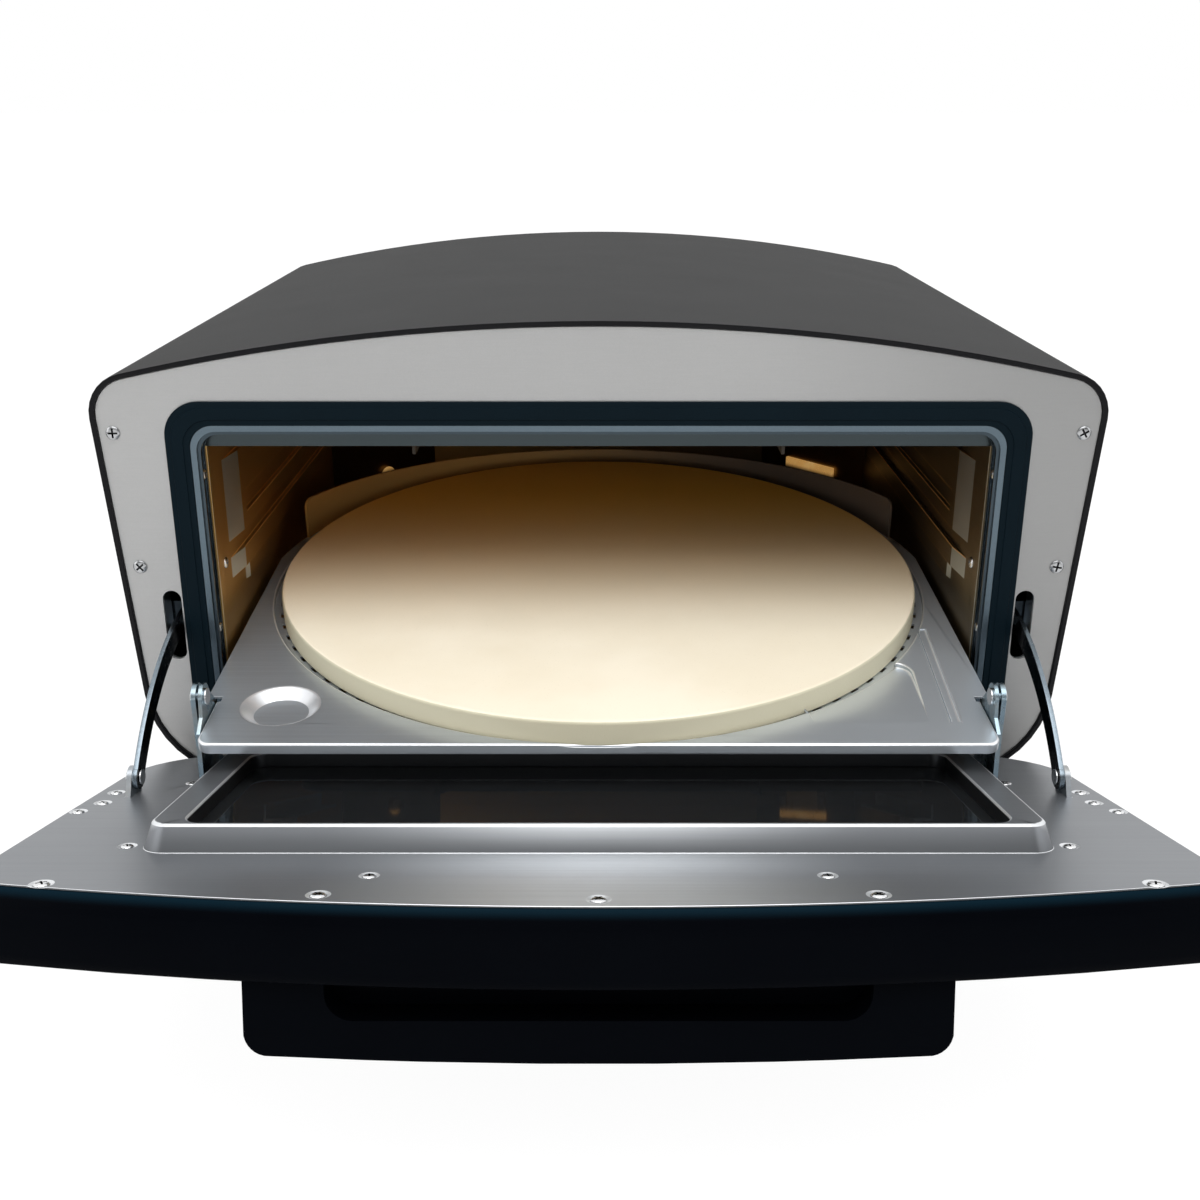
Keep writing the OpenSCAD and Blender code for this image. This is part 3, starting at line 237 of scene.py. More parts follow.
def rimSteel(name, face, paintedFoldHighlight, headerShade, rough):
    # blue-grey steel with a painted highlight along its folds, painted shade behind its front lip and deeper painted
    # shade on the header strip behind the mouth
    p = Paint(name, Metallic=1.0)
    lines = p.noise(1, 3, 0.65, (12, 500, 500))
    cloud = p.noise(17, 4)
    front = abs(p.facing((0, 1, 0)))
    tint = p.mix(p.between(lines * 0.5 + cloud * 0.5, 0.36, 0.64), tuple(c * 0.92 for c in face), face)
    lip, shadedStrip = ([frontEdge + depth for depth in rimDepths[part]] for part in ("lip", "headerShade"))
    # painted shade behind the front lip, and deeper painted shade on the header strip
    tint = p.mix(p.between(p.y, *lip), tint, tuple(c * 0.45 for c in face))
    tint = p.mix(p.between(p.y, *shadedStrip), tint, headerShade)
    # painted highlight along the folds
    tint = p.mix(p.band(front, 0.3, 0.93, 0.04), tint, paintedFoldHighlight)
    p.bump(lines, 0.04, 0.0001)
    return p.set(Base_Color=tint, Roughness=rough + (lines - 0.5) * 0.08 + (cloud - 0.5) * 0.1)


def sheetSteel(name, colour, rough, stretch, up, paintedFoldHighlight, paintedWallShade, paintedSheen, shadedWell=None):
    # satin steel that scatters a little, with a painted highlight on its folds, painted shade on its walls and
    # painted light across it by x;
    # the window's recess, passed last, gets painted shade on its floor and sides
    p = Paint(name, Metallic=0.72)
    lines = p.noise(1, 3, 0.65, stretch)
    cloud = p.noise(14, 4)
    tint = p.mix(p.between(lines * 0.5 + cloud * 0.5, 0.36, 0.64), tuple(c * 0.93 for c in colour),
                 tuple(c * 1.05 for c in colour))
    # painted light across the sheet by x
    side = abs(p.x) if paintedSheen["mirrored"] else p.x
    tint = p.mix(p.between(side, paintedSheen["low"], paintedSheen["high"]), tint, paintedSheen["colour"])
    upward = p.facing(up)
    # painted shade on the walls, which don't face up
    tint = p.mix(p.between(upward, 0.3, 0.4, 1.0, 0.0), tint, paintedWallShade)
    # painted highlight on the folds
    tint = p.mix(p.band(upward, 0.4, 0.97, 0.02) * 0.85, tint, paintedFoldHighlight)
    # painted shade on the floor and sides of the window's recess
    if shadedWell:
        along = p.reach(doorAlong, hingePlace)
        across = p.band(p.x, -shadedWell["half"], shadedWell["half"], shadedWell["soft"])
        inside = across * p.band(along, shadedWell["near"], shadedWell["far"], shadedWell["soft"])
        deep = p.between(p.reach(doorOut, hingePlace), shadedWell["floor"], shadedWell["lip"], 1.0, 0.0)
        tint = p.mix(inside * deep * 0.9, tint, shadedWell["colour"])
    p.bump(lines * 0.6 + p.noise(2400, 2) * 0.4, 0.1, 0.0001)
    return p.set(Base_Color=tint, Roughness=rough + (lines - 0.5) * 0.12 + (cloud - 0.5) * 0.12)


def zincPlate(name, colour, warm, rough, glow=0.0, lit=0.0):
    # plated sheet: spangle, a blue to straw cast and bright worn spots; glow is a painted glow above the height lit,
    # dark below it
    p = Paint(name, Metallic=1.0, Emission_Strength=glow)
    flake = p.cells(420)
    cloud = p.noise(90, 4)
    tint = p.mix(p.between(cloud, 0.42, 0.68), colour, warm)
    tint = p.mix(p.between(flake, 0.1, 0.9) * 0.35, tint, tuple(min(1, c * 1.35) for c in colour))
    p.bump(p.noise(1500, 2) * 0.5 + flake * 0.5, 0.15, 0.0001)
    if glow:
        # painted glow above the height lit, dark below it
        tint = p.mix(p.between(p.z, lit, lit + 0.004, 1.0, 0.0), tint, (0.02, 0.012, 0.006))
        p.set(Emission_Color=tint)
    return p.set(Base_Color=tint, Roughness=rough + (cloud - 0.5) * 0.22)


def bluedSteel(name, face, edge, rough):
    # dark on its broad faces, with a painted highlight along its edges that a wear noise breaks up
    p = Paint(name, Metallic=1.0)
    cloud = p.noise(120, 4, 0.6)
    wearAndGlint = p.noise(600, 3, 0.6)
    tint = p.mix(cloud, tuple(c * 0.7 for c in face), tuple(c * 1.3 for c in face))
    # painted highlight along the edges, broken up by the wear noise
    tint = p.mix(p.between(abs(p.facing((1, 0, 0))), 0.55, 0.95, 1.0, 0.0) * (wearAndGlint * 0.5 + 0.6), tint, edge)
    p.bump(wearAndGlint, 0.1, 0.0001)
    return p.set(Base_Color=tint, Roughness=rough + (cloud - 0.5) * 0.14)


def plastic(name, colour, rough, gloss=0.3, texture=0.2, scale=1800, ior=1.45, shoulder=None):
    # shoulder paints a blue-black band on the door's moulding beside its lining, by height
    p = Paint(name, Specular_IOR_Level=gloss, IOR=ior)
    cloud = p.noise(40, 4)
    tint = p.mix(cloud, tuple(c * 0.85 for c in colour), tuple(c * 1.15 for c in colour))
    if shoulder:
        up = p.reach(doorOut, hingePlace)
        tint = p.mix(p.between(up, shoulder["low"], shoulder["high"]), tint, shoulder["colour"])
    p.bump(p.noise(scale, 2, 0.6), texture, 0.0002)
    return p.set(Base_Color=tint, Roughness=rough + (cloud - 0.5) * 0.12)


# painted reflection on the pads' ramps and painted highlight on their folds
padPaintedLight = {"ramp": ((0.45, 0.52, 0.56), (0.85, 0.93, 0.98)), "paintedFoldHighlight": (1.0, 0.50, 0.12)}


def heatTinted(name, dark, gold, rough, metal=1.0, left=None, pads=False):
    # steel that has been hot: straw and brown bands, darker toward the back; left is painted lamp light on the left
    # side
    p = Paint(name, Metallic=metal)
    cloud = p.noise(9, 5, 0.6)
    fine = p.noise(1, 3, 0.6, (700, 9, 700))
    depth = p.between(p.y, -0.08, 0.22)
    tint = p.mix(p.between(cloud + depth * 0.35, 0.42, 0.9), gold, dark)
    if left:
        # painted lamp light on the left side
        tint = p.mix(p.between(p.x, -0.1, 0.1), left, tint)
    if pads:  # the pressed pads' ramps get a painted reflection, and their folds a straw-coloured painted highlight
        ramp = p.band(p.facing((0, -1, 0)), 0.06, 0.5, 0.02)
        paintedFoldHighlight = p.band(abs(p.facing((0, 0, 1))), 0.1, 0.93, 0.05)
        tint = p.mix(ramp, tint, p.mix(cloud, *padPaintedLight["ramp"]))
        tint = p.mix(paintedFoldHighlight, tint, padPaintedLight["paintedFoldHighlight"])
        p.set(Metallic=1 - paintedFoldHighlight * 0.8)
    p.bump(fine, 0.1, 0.0001)
    return p.set(Base_Color=tint, Roughness=rough + (cloud - 0.5) * 0.2 + (fine - 0.5) * 0.1)


# the stone's colours, with painted shade toward the back and round the rim
stoneLook = {"cream": (0.88, 0.79, 0.62), "pale": (0.94, 0.86, 0.70), "paintedRearShade": (0.79, 0.41, 0.05),
             "rearShadeFrom": -0.09, "rearShadeTo": 0.10, "speck": (0.45, 0.36, 0.24), "side": (0.56, 0.53, 0.38)}


def bakingStone():
    # cream ceramic, with painted shade that browns it toward the back and darkens it round its rim
    p = Paint("bakingStone")
    grain = p.noise(1500, 3, 0.65)
    speck = p.cells(520)
    cloud = p.noise(11, 4, 0.55)
    look = stoneLook
    cream = p.mix(p.between(cloud, 0.35, 0.7), look["cream"], look["pale"])
    # painted shade: brown toward the back
    paintedRearShade = p.between(p.y + (cloud - 0.5) * 0.04, look["rearShadeFrom"], look["rearShadeTo"])
    cream = p.mix(paintedRearShade, cream, look["paintedRearShade"])
    cream = p.mix(p.between(speck, 0.0, 0.16, 1.0, 0.0) * 0.25, cream, look["speck"])
    # painted shade on the rim, whose faces don't look up
    side = p.between(p.facing((0, 0, 1)), 0.5, 0.9, 1.0, 0.0)
    tint = p.mix(side * 0.8, cream, look["side"])
    p.bump(grain * 0.7 + p.between(speck, 0.0, 0.2) * 0.3, 0.3, 0.0003)
    return p.set(Base_Color=tint, Roughness=0.82 + (grain - 0.5) * 0.2)


def darkGlass(name, tintTo, rough):
    p = Paint(name, Transmission_Weight=0.92, IOR=1.5)
    film = p.noise(13, 4)
    return p.set(Base_Color=p.mix(film, tuple(c * 0.8 for c in tintTo), tintTo), Roughness=rough + film * 0.03)


def glowingLens(name, colour, strength):
    p = Paint(name, Emission_Strength=strength, IOR=1.45)
    ribs = p.noise(1, 2, 0.5, (600, 600, 40))
    glow = p.mix(ribs, tuple(c * 0.75 for c in colour), colour)
    p.bump(ribs, 0.25, 0.0003)
    return p.set(Base_Color=glow, Emission_Color=glow, Roughness=0.3 + (ribs - 0.5) * 0.2)


def chrome(name, colour=(0.78, 0.79, 0.80), out=None, floor=0.0, start=(0, 0, 0)):
    # out, start and floor give a screw's axis and the height of its recess's floor; the recess's walls and floor get
    # painted shade
    p = Paint(name, Metallic=1.0)
    turned = p.noise(1, 2, 0.5, (900, 900, 900))
    tint = p.mix(turned, tuple(c * 0.9 for c in colour), colour)
    if out:
        # painted shade on the walls and floor of the cross recess
        recessWallShade = p.between(p.facing(out), 0.1, 0.35, 1.0, 0.0)
        recessFloorShade = p.between(p.reach(out, start), floor, floor + 0.00006, 1.0, 0.0)
        tint = p.mix(p.node("Math", {"operation": "MAXIMUM"}, {0: recessWallShade, 1: recessFloorShade}), tint, (0.015, 0.015, 0.016))
    p.bump(turned, 0.06, 0.0001)
    return p.set(Base_Color=tint, Roughness=0.16 + turned * 0.12)


def fired(name, colour, rough):
    p = Paint(name)
    grain = p.noise(1300, 3)
    cloud = p.noise(60, 4)
    p.bump(grain, 0.25, 0.0002)
    tint = p.mix(cloud, tuple(c * 0.88 for c in colour), colour)
    return p.set(Base_Color=tint, Roughness=rough + (grain - 0.5) * 0.2)


def woolMat(name, colour):
    p = Paint(name)
    strands = p.noise(1, 4, 0.7, (300, 300, 900)) * 0.5 + p.noise(700, 3, 0.7) * 0.5
    p.bump(strands, 0.9, 0.002)
    tint = p.mix(p.between(strands, 0.3, 0.7), tuple(c * 0.7 for c in colour), colour)
    return p.set(Base_Color=tint, Roughness=0.95 + (strands - 0.5) * 0.1)


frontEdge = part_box("outer_shell")[0].y
screwProud = 0.0014  # how far a panel screw's head stands out
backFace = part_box("panel_screws")[1].y - screwProud
shoulder = {"low": 0.0018, "high": 0.0052, "colour": (0.003, 0.012, 0.020)}
# painted shade on the floor and sides of the window's recess
windowShade = {"half": 0.1450, "near": 0.0343, "far": 0.1373, "floor": 0.0144, "lip": 0.0150, "soft": 0.0001,
          "colour": (0.02, 0.022, 0.025)}
# painted light by x: a highlight down the lining's middle with shade toward its sides, and a highlight toward the
# tray's right
doorPaintedSheen = {"low": 0.0, "high": 0.1, "colour": (0.24, 0.252, 0.27), "mirrored": True}
trayPaintedSheen = {"low": 0.0, "high": 0.13, "colour": (0.74, 0.79, 0.84), "mirrored": False}
finishes = {
    "shell_paint": powderCoat("charcoalCoat", (0.0185, 0.0185, 0.019), 0.62, frontEdge, 0.14),
    "satin_steel": satinPlate("satinPlate", (0.46, 0.46, 0.457), 0.44),
    "black_rubber": plastic("gasketRubber", (0.003, 0.008, 0.012), 0.4, 0.1, 0.1, 1500, 1.3),
    "rim_steel": rimSteel("rimSteel", (0.125, 0.165, 0.195), (0.66, 0.78, 0.84), (0.050, 0.062, 0.066), 0.24),
    "cavity_steel": heatTinted("cavitySteel", (0.15, 0.095, 0.045), (0.30, 0.215, 0.12), 0.4),
    "wool": woolMat("mineralWool", (0.80, 0.77, 0.68)),
    "matte_black": plastic("matteBlack", (0.004, 0.004, 0.0045), 0.5, 0.15, texture=0.3),
    "gloss_black": plastic("glossBlack", (0.0012, 0.0016, 0.0026), 0.26, 0.045, 0.03, 500, 1.22, shoulder),
    "galvanised": zincPlate("galvanised", (0.42, 0.45, 0.48), (0.46, 0.45, 0.42), 0.36),
    "element": heatTinted("elementSheath", (0.04, 0.035, 0.035), (0.10, 0.08, 0.07), 0.55),
    "white_ceramic": fired("whiteCeramic", (0.85, 0.83, 0.78), 0.6),
    # painted glow on the lamp frame, which is no lamp
    "lamp_brass": zincPlate("lampBrassPaintedGlow", (0.80, 0.42, 0.12), (0.90, 0.55, 0.20), 0.3, 0.45, 0.1362),
    "warm_glass": glowingLens("warmLens", (0.22, 0.13, 0.05), 0.1),
    "orange_lens": glowingLens("orangeLens", (1.0, 0.30, 0.05), 0.4),
    "bright_metal": chrome("brightMetal"),
    "door_steel": sheetSteel("doorSteel", (0.80, 0.83, 0.86), 0.35, (7, 650, 650), doorOut, (0.92, 0.94, 0.96),
                             (0.125, 0.132, 0.14), doorPaintedSheen, windowShade),
    "dark_glass": darkGlass("smokedGlass", (0.20, 0.22, 0.24), 0.02),
    "zinc": zincPlate("blueZinc", (0.32, 0.42, 0.48), (0.40, 0.43, 0.42), 0.28),
    "dark_steel": bluedSteel("bluedSteel", (0.010, 0.013, 0.017), (0.30, 0.36, 0.41), 0.26),
    "baking_stone": bakingStone(),
    "stone_tray": sheetSteel("traySteel", (0.52, 0.56, 0.60), 0.31, (7, 650, 650), trayUp, (0.95, 0.96, 0.98),
                             (0.50, 0.54, 0.58), trayPaintedSheen),
    # painted lamp light on the left of the guard and of the cavity's walls
    "rear_guard": heatTinted("guardSteel", (0.14, 0.105, 0.08), (0.22, 0.17, 0.13), 0.42, 0.5, (0.62, 0.36, 0.11)),
    "oven_cavity": heatTinted("cavityWalls", (0.14, 0.10, 0.055), (0.26, 0.20, 0.12), 0.38, 1.0,
                              (0.62, 0.38, 0.13), True),
    "temperature_knob": plastic("knobBlack", (0.016, 0.016, 0.017), 0.38, 0.35, 0.25, 1400),
    "heater_brackets": heatTinted("bracketSteel", (0.03, 0.022, 0.016), (0.05, 0.04, 0.03), 0.7, 0.1),
    "plate_screws": chrome("plateScrews", (0.50, 0.51, 0.52), (0, -1, 0), -0.0005, (0, frontEdge + 0.0012, 0)),
    "panel_screws": chrome("panelScrews", (0.45, 0.46, 0.47), (0, 1, 0), 0.0001, (0, backFace, 0)),
    "door_screws": chrome("doorScrews", (0.88, 0.89, 0.90), doorOut, 0.00575, hingePlace),
}
finishes["timer_knob"] = finishes["temperature_knob"]
print("finishes made:", len(finishes))


# modelling helpers
def clearSelection():
    if bpy.context.object and bpy.context.object.mode != "OBJECT":
        bpy.ops.object.mode_set(mode="OBJECT")
    bpy.ops.object.select_all(action="DESELECT")


def useOnly(obj):
    clearSelection()
    obj.select_set(True)
    bpy.context.view_layer.objects.active = obj


def finish(piece, node, angle=35):
    # smooths the piece, paints it and lets it stand for its node
    useOnly(piece)
    bpy.ops.object.shade_smooth_by_angle(angle=math.radians(angle))
    piece.data.materials.clear()
    piece.data.materials.append(finishes.get(node) or finishes[slotOf[node]])
    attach(piece, bodyOf[node])
    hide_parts(node)


def applyModifier(piece, kind, **settings):
    useOnly(piece)
    modifier = piece.modifiers.new(kind.lower(), kind)
    for key, value in settings.items():
        setattr(modifier, key, value)
    bpy.ops.object.modifier_apply(modifier=modifier.name)


def weighEdges(piece, pressed, angle):
    # sharp edges get a quarter of the bevel, and those of the pressed forms get all of it
    bm = bmesh.new()
    bm.from_mesh(piece.data)
    layer = bm.edges.layers.float.new("bevel_weight_edge")
    for edge in bm.edges:
        if len(edge.link_faces) == 2 and edge.calc_face_angle() > angle:
            edge[layer] = 1.0 if pressed(edge) else 0.25
    bm.to_mesh(piece.data)
    bm.free()


def softened(node, width, segments=2, angle=32, pressed=None, flat=None, smooth=35, cut=False, shape=None):
    # a copy of the node with its sharp edges rounded; flat is the direction that a pressed sheet's flats face
    useOnly(nodes[node])
    bpy.ops.object.duplicate()
    piece = bpy.context.object
    piece.name = "soft_" + node
    bpy.ops.mesh.customdata_custom_splitnormals_clear()
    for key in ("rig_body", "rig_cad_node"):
        if key in piece:
            del piece[key]
    piece.parent = None
    bpy.ops.object.mode_set(mode="EDIT")
    bpy.ops.mesh.select_all(action="SELECT")
    bpy.ops.mesh.remove_doubles(threshold=0.00001)
    bpy.ops.mesh.dissolve_limited(angle_limit=math.radians(0.6))
    if cut or flat:  # a big flat with many holes goes wrong in the bevel as one face
        bpy.ops.mesh.quads_convert_to_tris(quad_method="BEAUTY", ngon_method="BEAUTY")
    if shape:
        shape()
    bpy.ops.object.mode_set(mode="OBJECT")
    if pressed:
        weighEdges(piece, pressed, math.radians(angle))
    applyModifier(piece, "BEVEL", width=width, segments=segments, limit_method="WEIGHT" if pressed else "ANGLE",
                  angle_limit=math.radians(angle), harden_normals=False, use_clamp_overlap=not pressed)
    finish(piece, node, smooth)
    if flat:
        for polygon in piece.data.polygons:
            polygon.use_smooth = abs(polygon.normal.dot(flat)) < 0.9999
    else:
        applyModifier(piece, "WEIGHTED_NORMAL", keep_sharp=True, weight=80)


def turned(name, profile, sides):
    # a closed turned piece up the Z axis, from its rings' radii and heights
    clearSelection()
    bpy.ops.mesh.primitive_circle_add(vertices=sides, radius=profile[0][0], location=(0, 0, profile[0][1]),
                                      fill_type="NGON")
    piece = bpy.context.object
    piece.name = name
    bpy.ops.object.mode_set(mode="EDIT")
    bpy.ops.mesh.select_all(action="SELECT")
    for (r0, z0), (r1, z1) in zip(profile, profile[1:]):
        bpy.ops.mesh.extrude_region_move(TRANSFORM_OT_translate={"value": (0, 0, z1 - z0)})
        bpy.ops.transform.resize(value=(r1 / r0, r1 / r0, 1), center_override=(0, 0, z1))
    bpy.ops.mesh.select_all(action="SELECT")
    bpy.ops.mesh.normals_make_consistent(inside=False)
    bpy.ops.object.mode_set(mode="OBJECT")
    bpy.ops.object.transform_apply(location=True, rotation=True, scale=True)
    return piece


def joined(pieces, name):
    clearSelection()
    for piece in pieces:
        piece.select_set(True)
    bpy.context.view_layer.objects.active = pieces[0]
    if len(pieces) > 1:
        bpy.ops.object.join()
    bpy.context.object.name = name
    return bpy.context.object


def islands(node):
    # the points of every loose solid in a CAD node, sorted by the solids' middles so that every run is the same
    bm = bmesh.new()
    bm.from_mesh(nodes[node].data)
    bmesh.ops.remove_doubles(bm, verts=bm.verts, dist=0.00001)
    left = set(bm.verts)
    found = []
    for first in bm.verts:
        if first not in left:
            continue
        left.remove(first)
        stack, group = [first], []
        while stack:
            v = stack.pop()
            group.append(v.co.copy())
            for e in v.link_edges:
                o = e.other_vert(v)
                if o in left:
                    left.remove(o)
                    stack.append(o)
        found.append(group)
    bm.free()
    return sorted(found, key=lambda group: [round(c, 4) for c in sum(group, Vector()) / len(group)])


# rounded edges
roundings = {
    "outer_shell": 0.0006, "front_plate": 0.0005, "door_gasket": 0.0004, "cavity_rim": 0.00045,
    "base_plinth": 0.0008, "control_fascia": 0.0006, "door_shell": 0.0005,
    "drive_arm_left": 0.00035, "drive_arm_right": 0.00035,
    "rear_guard": 0.0003, "tray_brackets": 0.0003, "stay_arm_left": 0.00035, "stay_arm_right": 0.00035,
    "back_panel": 0.00025, "lamp_frame": 0.0003, "stay_lugs": 0.0003, "hinge_lugs": 0.0003,
    "hinge_brackets": 0.0003, "temperature_knob": 0.0004, "timer_knob": 0.0004, "power_button": 0.0003,
    "light_button": 0.0003, "corner_panels": 0.0002, "stay_guides": 0.0003, "glass_clips": 0.0002,
    "oven_cavity": 0.0004, "tray_pins": 0.0002, "stay_pins": 0.0002, "hinge_pins": 0.0002, "upper_heaters": 0.0002,
    "lower_heaters": 0.0002, "rubber_feet": 0.0008, "pizza_stone": 0.0003, "handle_screws": 0.0003,
    "lamp_lens": 0.0003, "temperature_sensor": 0.0003, "tray_runners": 0.0002, "tray_ledges": 0.0002,
    "cord_gland": 0.0005, "indicator_lens": 0.0003, "base_pan": 0.0002, "heater_brackets": 0.0002,
}
handleCorner = {"edge": 0.0016, "round": 0.008, "steps": 8, "half": 0.113, "low": -0.0473}
crisp = {"oven_cavity": {"smooth": 5, "cut": True}}  # thin pressed walls, shaded flatter and cut up first


def roundHandle():
    # the handle's lower corners are cut round, plane by plane
    spec = handleCorner
    for side in (-1, 1):
        middle = hingePlace + doorOut * (spec["low"] + spec["round"])
        middle.x = side * (spec["half"] - spec["round"])
        for step in range(spec["steps"]):
            turn = math.radians(90 * (step + 0.5) / spec["steps"])
            out = Vector((side * math.sin(turn), 0, 0)) - doorOut * math.cos(turn)
            bpy.ops.mesh.select_all(action="SELECT")
            bpy.ops.mesh.bisect(plane_co=middle + out * spec["round"], plane_no=out, use_fill=True, clear_outer=True)


softened("door_handle", handleCorner["edge"], shape=roundHandle)
for node, width in roundings.items():
    softened(node, width, **crisp.get(node, {}))
print("edges rounded:", len(roundings) + 1)

# the window frame and the tray's pressed forms have wider rounds than the sheets' own edges
pressings = {"lining": 0.0061, "frameRound": 0.0011, "frameLeast": 0.003, "trayPlace": (0, -0.008298, 0.149818),
             "face": -0.009, "faceLeast": 0.0028, "recessMiddle": 0.0034, "recessInner": 0.1534,
             "recessOuter": 0.1584, "landEdge": 0.1555, "landFront": -0.1505, "trayRound": 0.0009}


def doorHeight(place):
    return (place - hingePlace).dot(doorOut)


def frameEdge(edge):
    low, high = sorted(doorHeight(v.co) for v in edge.verts)
    if low > frameTop - 0.0002:
        return True
    return abs(high - pressings["lining"]) < 0.0001 and any(
        max(doorHeight(v.co) for v in face.verts) > pressings["lining"] + pressings["frameLeast"]
        for face in edge.link_faces)


def trayEdge(edge):
    for v in edge.verts:
        place = v.co - Vector(pressings["trayPlace"])
        out = math.hypot(place.x, place.y - pressings["recessMiddle"])
        if place.dot(trayUp) < pressings["face"] - pressings["faceLeast"] or out < pressings["recessInner"]:
            return False
        if abs(place.x) > pressings["landEdge"] and out > pressings["recessOuter"]:
            return False
        if place.y < pressings["landFront"]:
            return False
    return any(face.normal.dot(trayUp) > 0.9 for face in edge.link_faces)


frameTop = max(doorHeight(v.co) for v in nodes["door_lining"].data.vertices)
softened("door_lining", pressings["frameRound"], 6, 32, frameEdge, doorOut)
softened("stone_tray", pressings["trayRound"], 4, 32, trayEdge, trayUp)
print("pressed sheets rounded")


# screws with cross recesses
screws = {"recessArm": 0.68, "recessWidth": 0.27, "recessDeep": 0.95, "threadPitch": 0.0011, "threadDeep": 0.00022,
          "threadTop": -0.0009, "sides": 28, "spin": 0.7}


def screwModel(radius, head, shank, length):
    thread = []
    z = -length
    while z < screws["threadTop"]:
        thread += [(shank - screws["threadDeep"], z), (shank, z + screws["threadPitch"] / 2)]
        z += screws["threadPitch"]
    profile = [(shank * 0.6, -length - 0.0001)] + thread + [
        (shank, -0.0004), (shank, 0.0), (radius * 0.97, 0.00002), (radius, head * 0.14), (radius * 0.96, head * 0.42),
        (radius * 0.82, head * 0.74), (radius * 0.6, head * 0.92), (radius * 0.3, head)]
    screw = turned("screw", profile, screws["sides"])
    reach = radius * screws["recessArm"]
    for turn in (0, 1):
        bpy.ops.mesh.primitive_cube_add(size=1, location=(0, 0, head))
        blade = bpy.context.object
        long, thin = reach * 2, radius * screws["recessWidth"]
        blade.scale = (long if turn else thin, thin if turn else long, head * screws["recessDeep"] * 2)
        useOnly(blade)
        bpy.ops.object.transform_apply(location=True, rotation=True, scale=True)
        applyModifier(screw, "BOOLEAN", object=blade, operation="DIFFERENCE", solver="EXACT")
        bpy.data.objects.remove(blade)
    return screw


def placeScrews(node, axis):
    # one detailed screw for every solid of the node; axis points out of the head
    axis = Vector(axis).normalized() if not callable(axis) else axis
    models = {}
    copies = []
    for count, group in enumerate(islands(node)):
        out = axis(group) if callable(axis) else axis
        reach = [v.dot(out) for v in group]
        top, foot = max(reach), min(reach)
        middle = sum(group, Vector()) / len(group)
        middle -= out * middle.dot(out)
        radius = max((v - out * v.dot(out) - middle).length for v in group)
        seat = min(v.dot(out) for v in group if (v - out * v.dot(out) - middle).length > radius * 0.97)
        shank = max((v - out * v.dot(out) - middle).length for v in group if v.dot(out) < foot + 0.0001)
        key = tuple(round(part, 5) for part in (radius, top - seat, shank, seat - foot))
        if key not in models:
            models[key] = screwModel(*key)
        clone = models[key].copy()
        clone.data = models[key].data.copy()
        bpy.context.scene.collection.objects.link(clone)
        spin = Matrix.Rotation(count * screws["spin"], 4, "Z")
        turn = Vector((0, 0, 1)).rotation_difference(out).to_matrix().to_4x4()
        clone.data.transform(Matrix.Translation(middle + out * seat) @ turn @ spin)
        copies.append(clone)
    for model in models.values():
        bpy.data.objects.remove(model)
    finish(joined(copies, "cross_" + node), node, angle=30)


placeScrews("plate_screws", (0, -1, 0))
placeScrews("panel_screws", (0, 1, 0))
placeScrews("door_screws", doorOut)
placeScrews("cavity_screws", lambda group: Vector((-1 if sum(v.x for v in group) > 0 else 1, 0, 0)))
print("screws placed")

# the rest of the CAD nodes keep their shape
for node, obj in nodes.items():
    if not obj.hide_render:
        obj.data.materials.clear()
        obj.data.materials.append(finishes[slotOf[node]])
        for polygon in obj.data.polygons:
            polygon.use_smooth = False

# floor and light
studio = {"floorGrey": 0.95, "floorGlow": 0.86, "floorLevel": 1.1, "world": 0.62,
          "shade": {"half": 0.16, "front": -0.07, "back": 0.27, "soft": 0.01}, "lamps": {
    "top": {"place": (0.0, -0.8, 1.5), "aim": (0, 0, 0.1), "size": 1.5, "power": 13, "tint": (1, 1, 1)},
    "left": {"place": (-1.5, -1.0, 0.7), "aim": (0, 0, 0.15), "size": 1.2, "power": 3.5, "tint": (1, 1, 1)},
    "right": {"place": (1.5, -0.9, 0.8), "aim": (0, 0, 0.15), "size": 1.2, "power": 1.5, "tint": (1, 1, 1)},
    "front": {"place": (0.0, -2.2, 0.7), "aim": (0, 0, 0.1), "size": 1.6, "power": 3, "tint": (1, 1, 1)},
    "near": {"place": (0.0, -0.6, 0.95), "aim": (0, -0.12, 0.12), "size": 0.5, "power": 2.0, "tint": (1, 1, 1)}},
    "card": {"place": (0, -2.8, 1.75), "size": (6, 2.6), "grey": 0.16}}


def addFloor():
    clearSelection()
    bpy.ops.mesh.primitive_plane_add(size=60, location=(0, 0, 0))
    floor = bpy.context.object
    floor.name = "floor"
    p = Paint("floorPaper")
    p.set(Base_Color=(studio["floorGrey"],) * 3, Roughness=0.9)
    rays = p.node("LightPath", out="Is Camera Ray")
    shade = studio["shade"]  # the floor doesn't glow under the body
    under = p.band(p.x, -shade["half"], shade["half"], shade["soft"])
    under *= p.band(p.y, shade["front"], shade["back"], shade["soft"])
    glow = p.node("Emission", {}, {"Color": (1, 1, 1, 1), "Strength": studio["floorLevel"]})
    both = p.node("MixShader", {}, {0: rays * studio["floorGlow"] * (1 - under)})
    mixer = both.socket.node
    p.tree.links.new(p.shader.outputs[0], mixer.inputs[1])
    p.tree.links.new(glow.socket, mixer.inputs[2])
    p.tree.links.new(both.socket, p.out.inputs[0])
    floor.data.materials.append(p.material)


def addCard(place, size, grey):
    # a dark card behind the camera, seen in reflections alone
    clearSelection()
    bpy.ops.mesh.primitive_plane_add(size=1, location=place, rotation=(math.radians(90), 0, 0))
    card = bpy.context.object
    card.name = "card"
    card.scale = (*size, 1)
    p = Paint("cardPaper")
    card.data.materials.append(p.set(Base_Color=(grey,) * 3, Roughness=0.9))
    card.visible_camera = card.visible_diffuse = card.visible_shadow = False


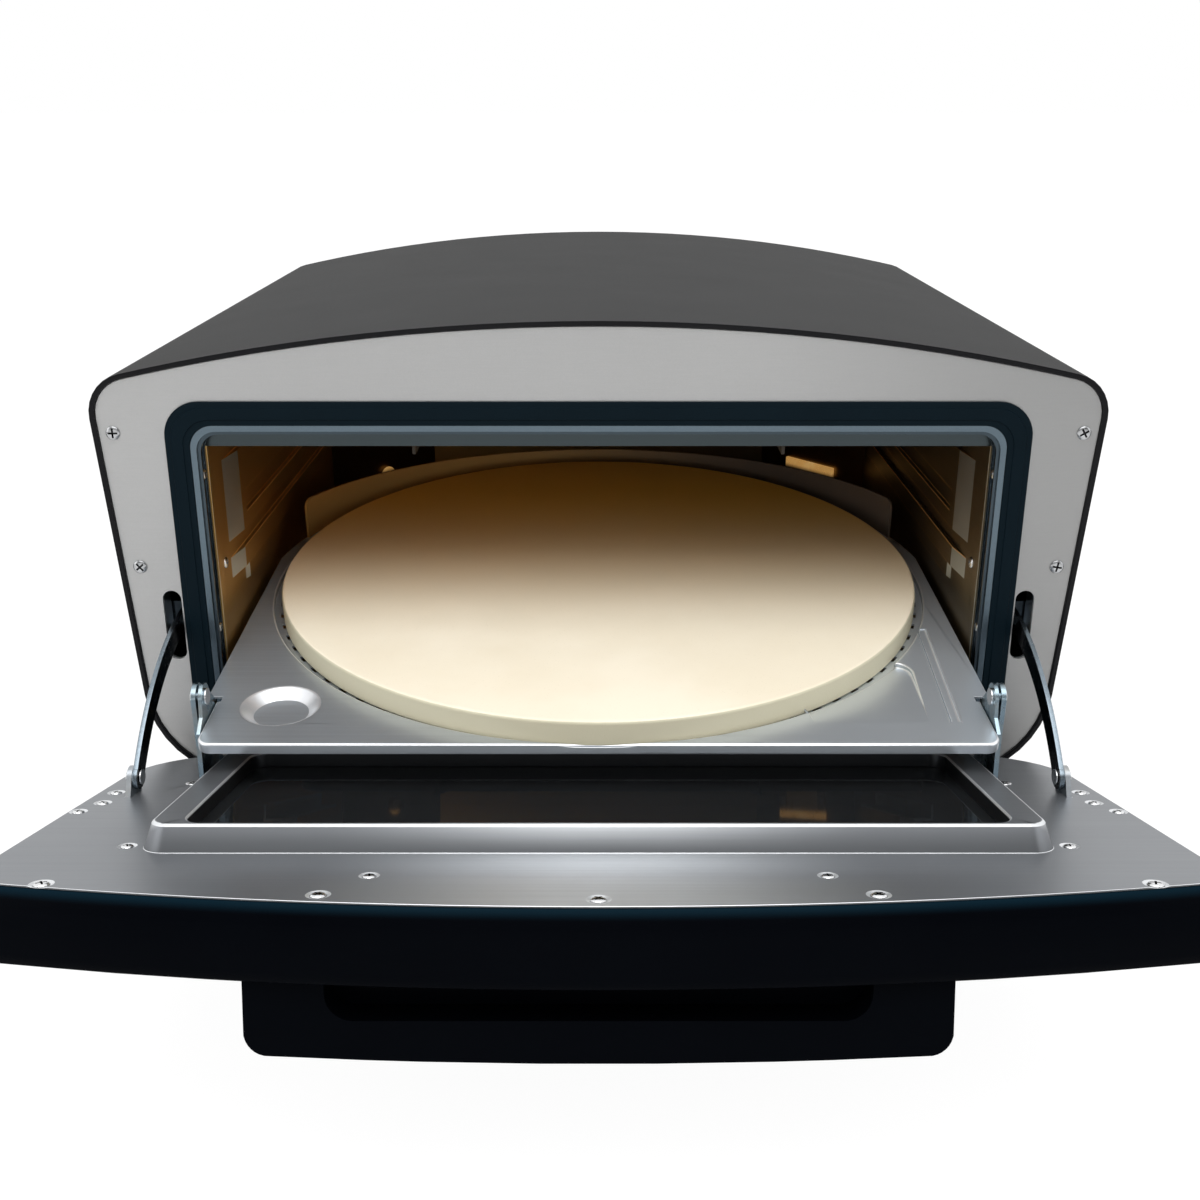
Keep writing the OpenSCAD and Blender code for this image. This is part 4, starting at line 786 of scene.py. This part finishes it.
def addWorld():
    # a sky that lights the scene softly, and is plain white to the camera, in mirrors and through glass
    world = bpy.data.worlds.new("studio")
    bpy.context.scene.world = world
    world.use_nodes = True
    tree = world.node_tree
    tree.nodes.clear()
    out = tree.nodes.new("ShaderNodeOutputWorld")
    path = tree.nodes.new("ShaderNodeLightPath")
    sky = tree.nodes.new("ShaderNodeBackground")
    sky.inputs["Strength"].default_value = studio["world"]
    seen = tree.nodes.new("ShaderNodeMath")
    seen.operation = "MAXIMUM"
    both = tree.nodes.new("ShaderNodeMath")
    both.operation = "MAXIMUM"
    tree.links.new(path.outputs["Is Camera Ray"], seen.inputs[0])
    tree.links.new(path.outputs["Is Glossy Ray"], seen.inputs[1])
    tree.links.new(seen.outputs[0], both.inputs[0])
    tree.links.new(path.outputs["Is Transmission Ray"], both.inputs[1])
    white = tree.nodes.new("ShaderNodeBackground")
    mixer = tree.nodes.new("ShaderNodeMixShader")
    tree.links.new(both.outputs[0], mixer.inputs[0])
    tree.links.new(sky.outputs[0], mixer.inputs[1])
    tree.links.new(white.outputs[0], mixer.inputs[2])
    tree.links.new(mixer.outputs[0], out.inputs[0])
    sky.inputs["Color"].default_value = (1, 1, 1, 1)
    white.inputs["Color"].default_value = (1, 1, 1, 1)


def addLamp(name, place, aim, size, power, tint):
    data = bpy.data.lights.new(name, "AREA")
    data.energy = power
    data.size = size
    data.color = tint
    lamp = bpy.data.objects.new(name, data)
    lamp.location = place
    lamp.rotation_euler = (Vector(aim) - Vector(place)).to_track_quat("-Z", "Y").to_euler()
    bpy.context.scene.collection.objects.link(lamp)
    return lamp


addFloor()
addCard(**studio["card"])
addWorld()
for name, lamp in studio["lamps"].items():
    addLamp(name, **lamp).visible_glossy = name != "near"
print("studio lit")

# the lit lamp in the oven's rear corner
ovenGlow = {"aim": (-0.17, 0.02, 0.17), "size": 0.03, "power": 0.12, "tint": (1.0, 0.54, 0.18)}
beforeLens = (-0.008, -0.006, 0.012)
lens = [sum(c) / 2 + shift for *c, shift in zip(*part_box("lamp_lens"), beforeLens)]
ovenLamp = addLamp("ovenLamp", lens, **ovenGlow)
ovenLamp.visible_glossy = ovenLamp.visible_transmission = False
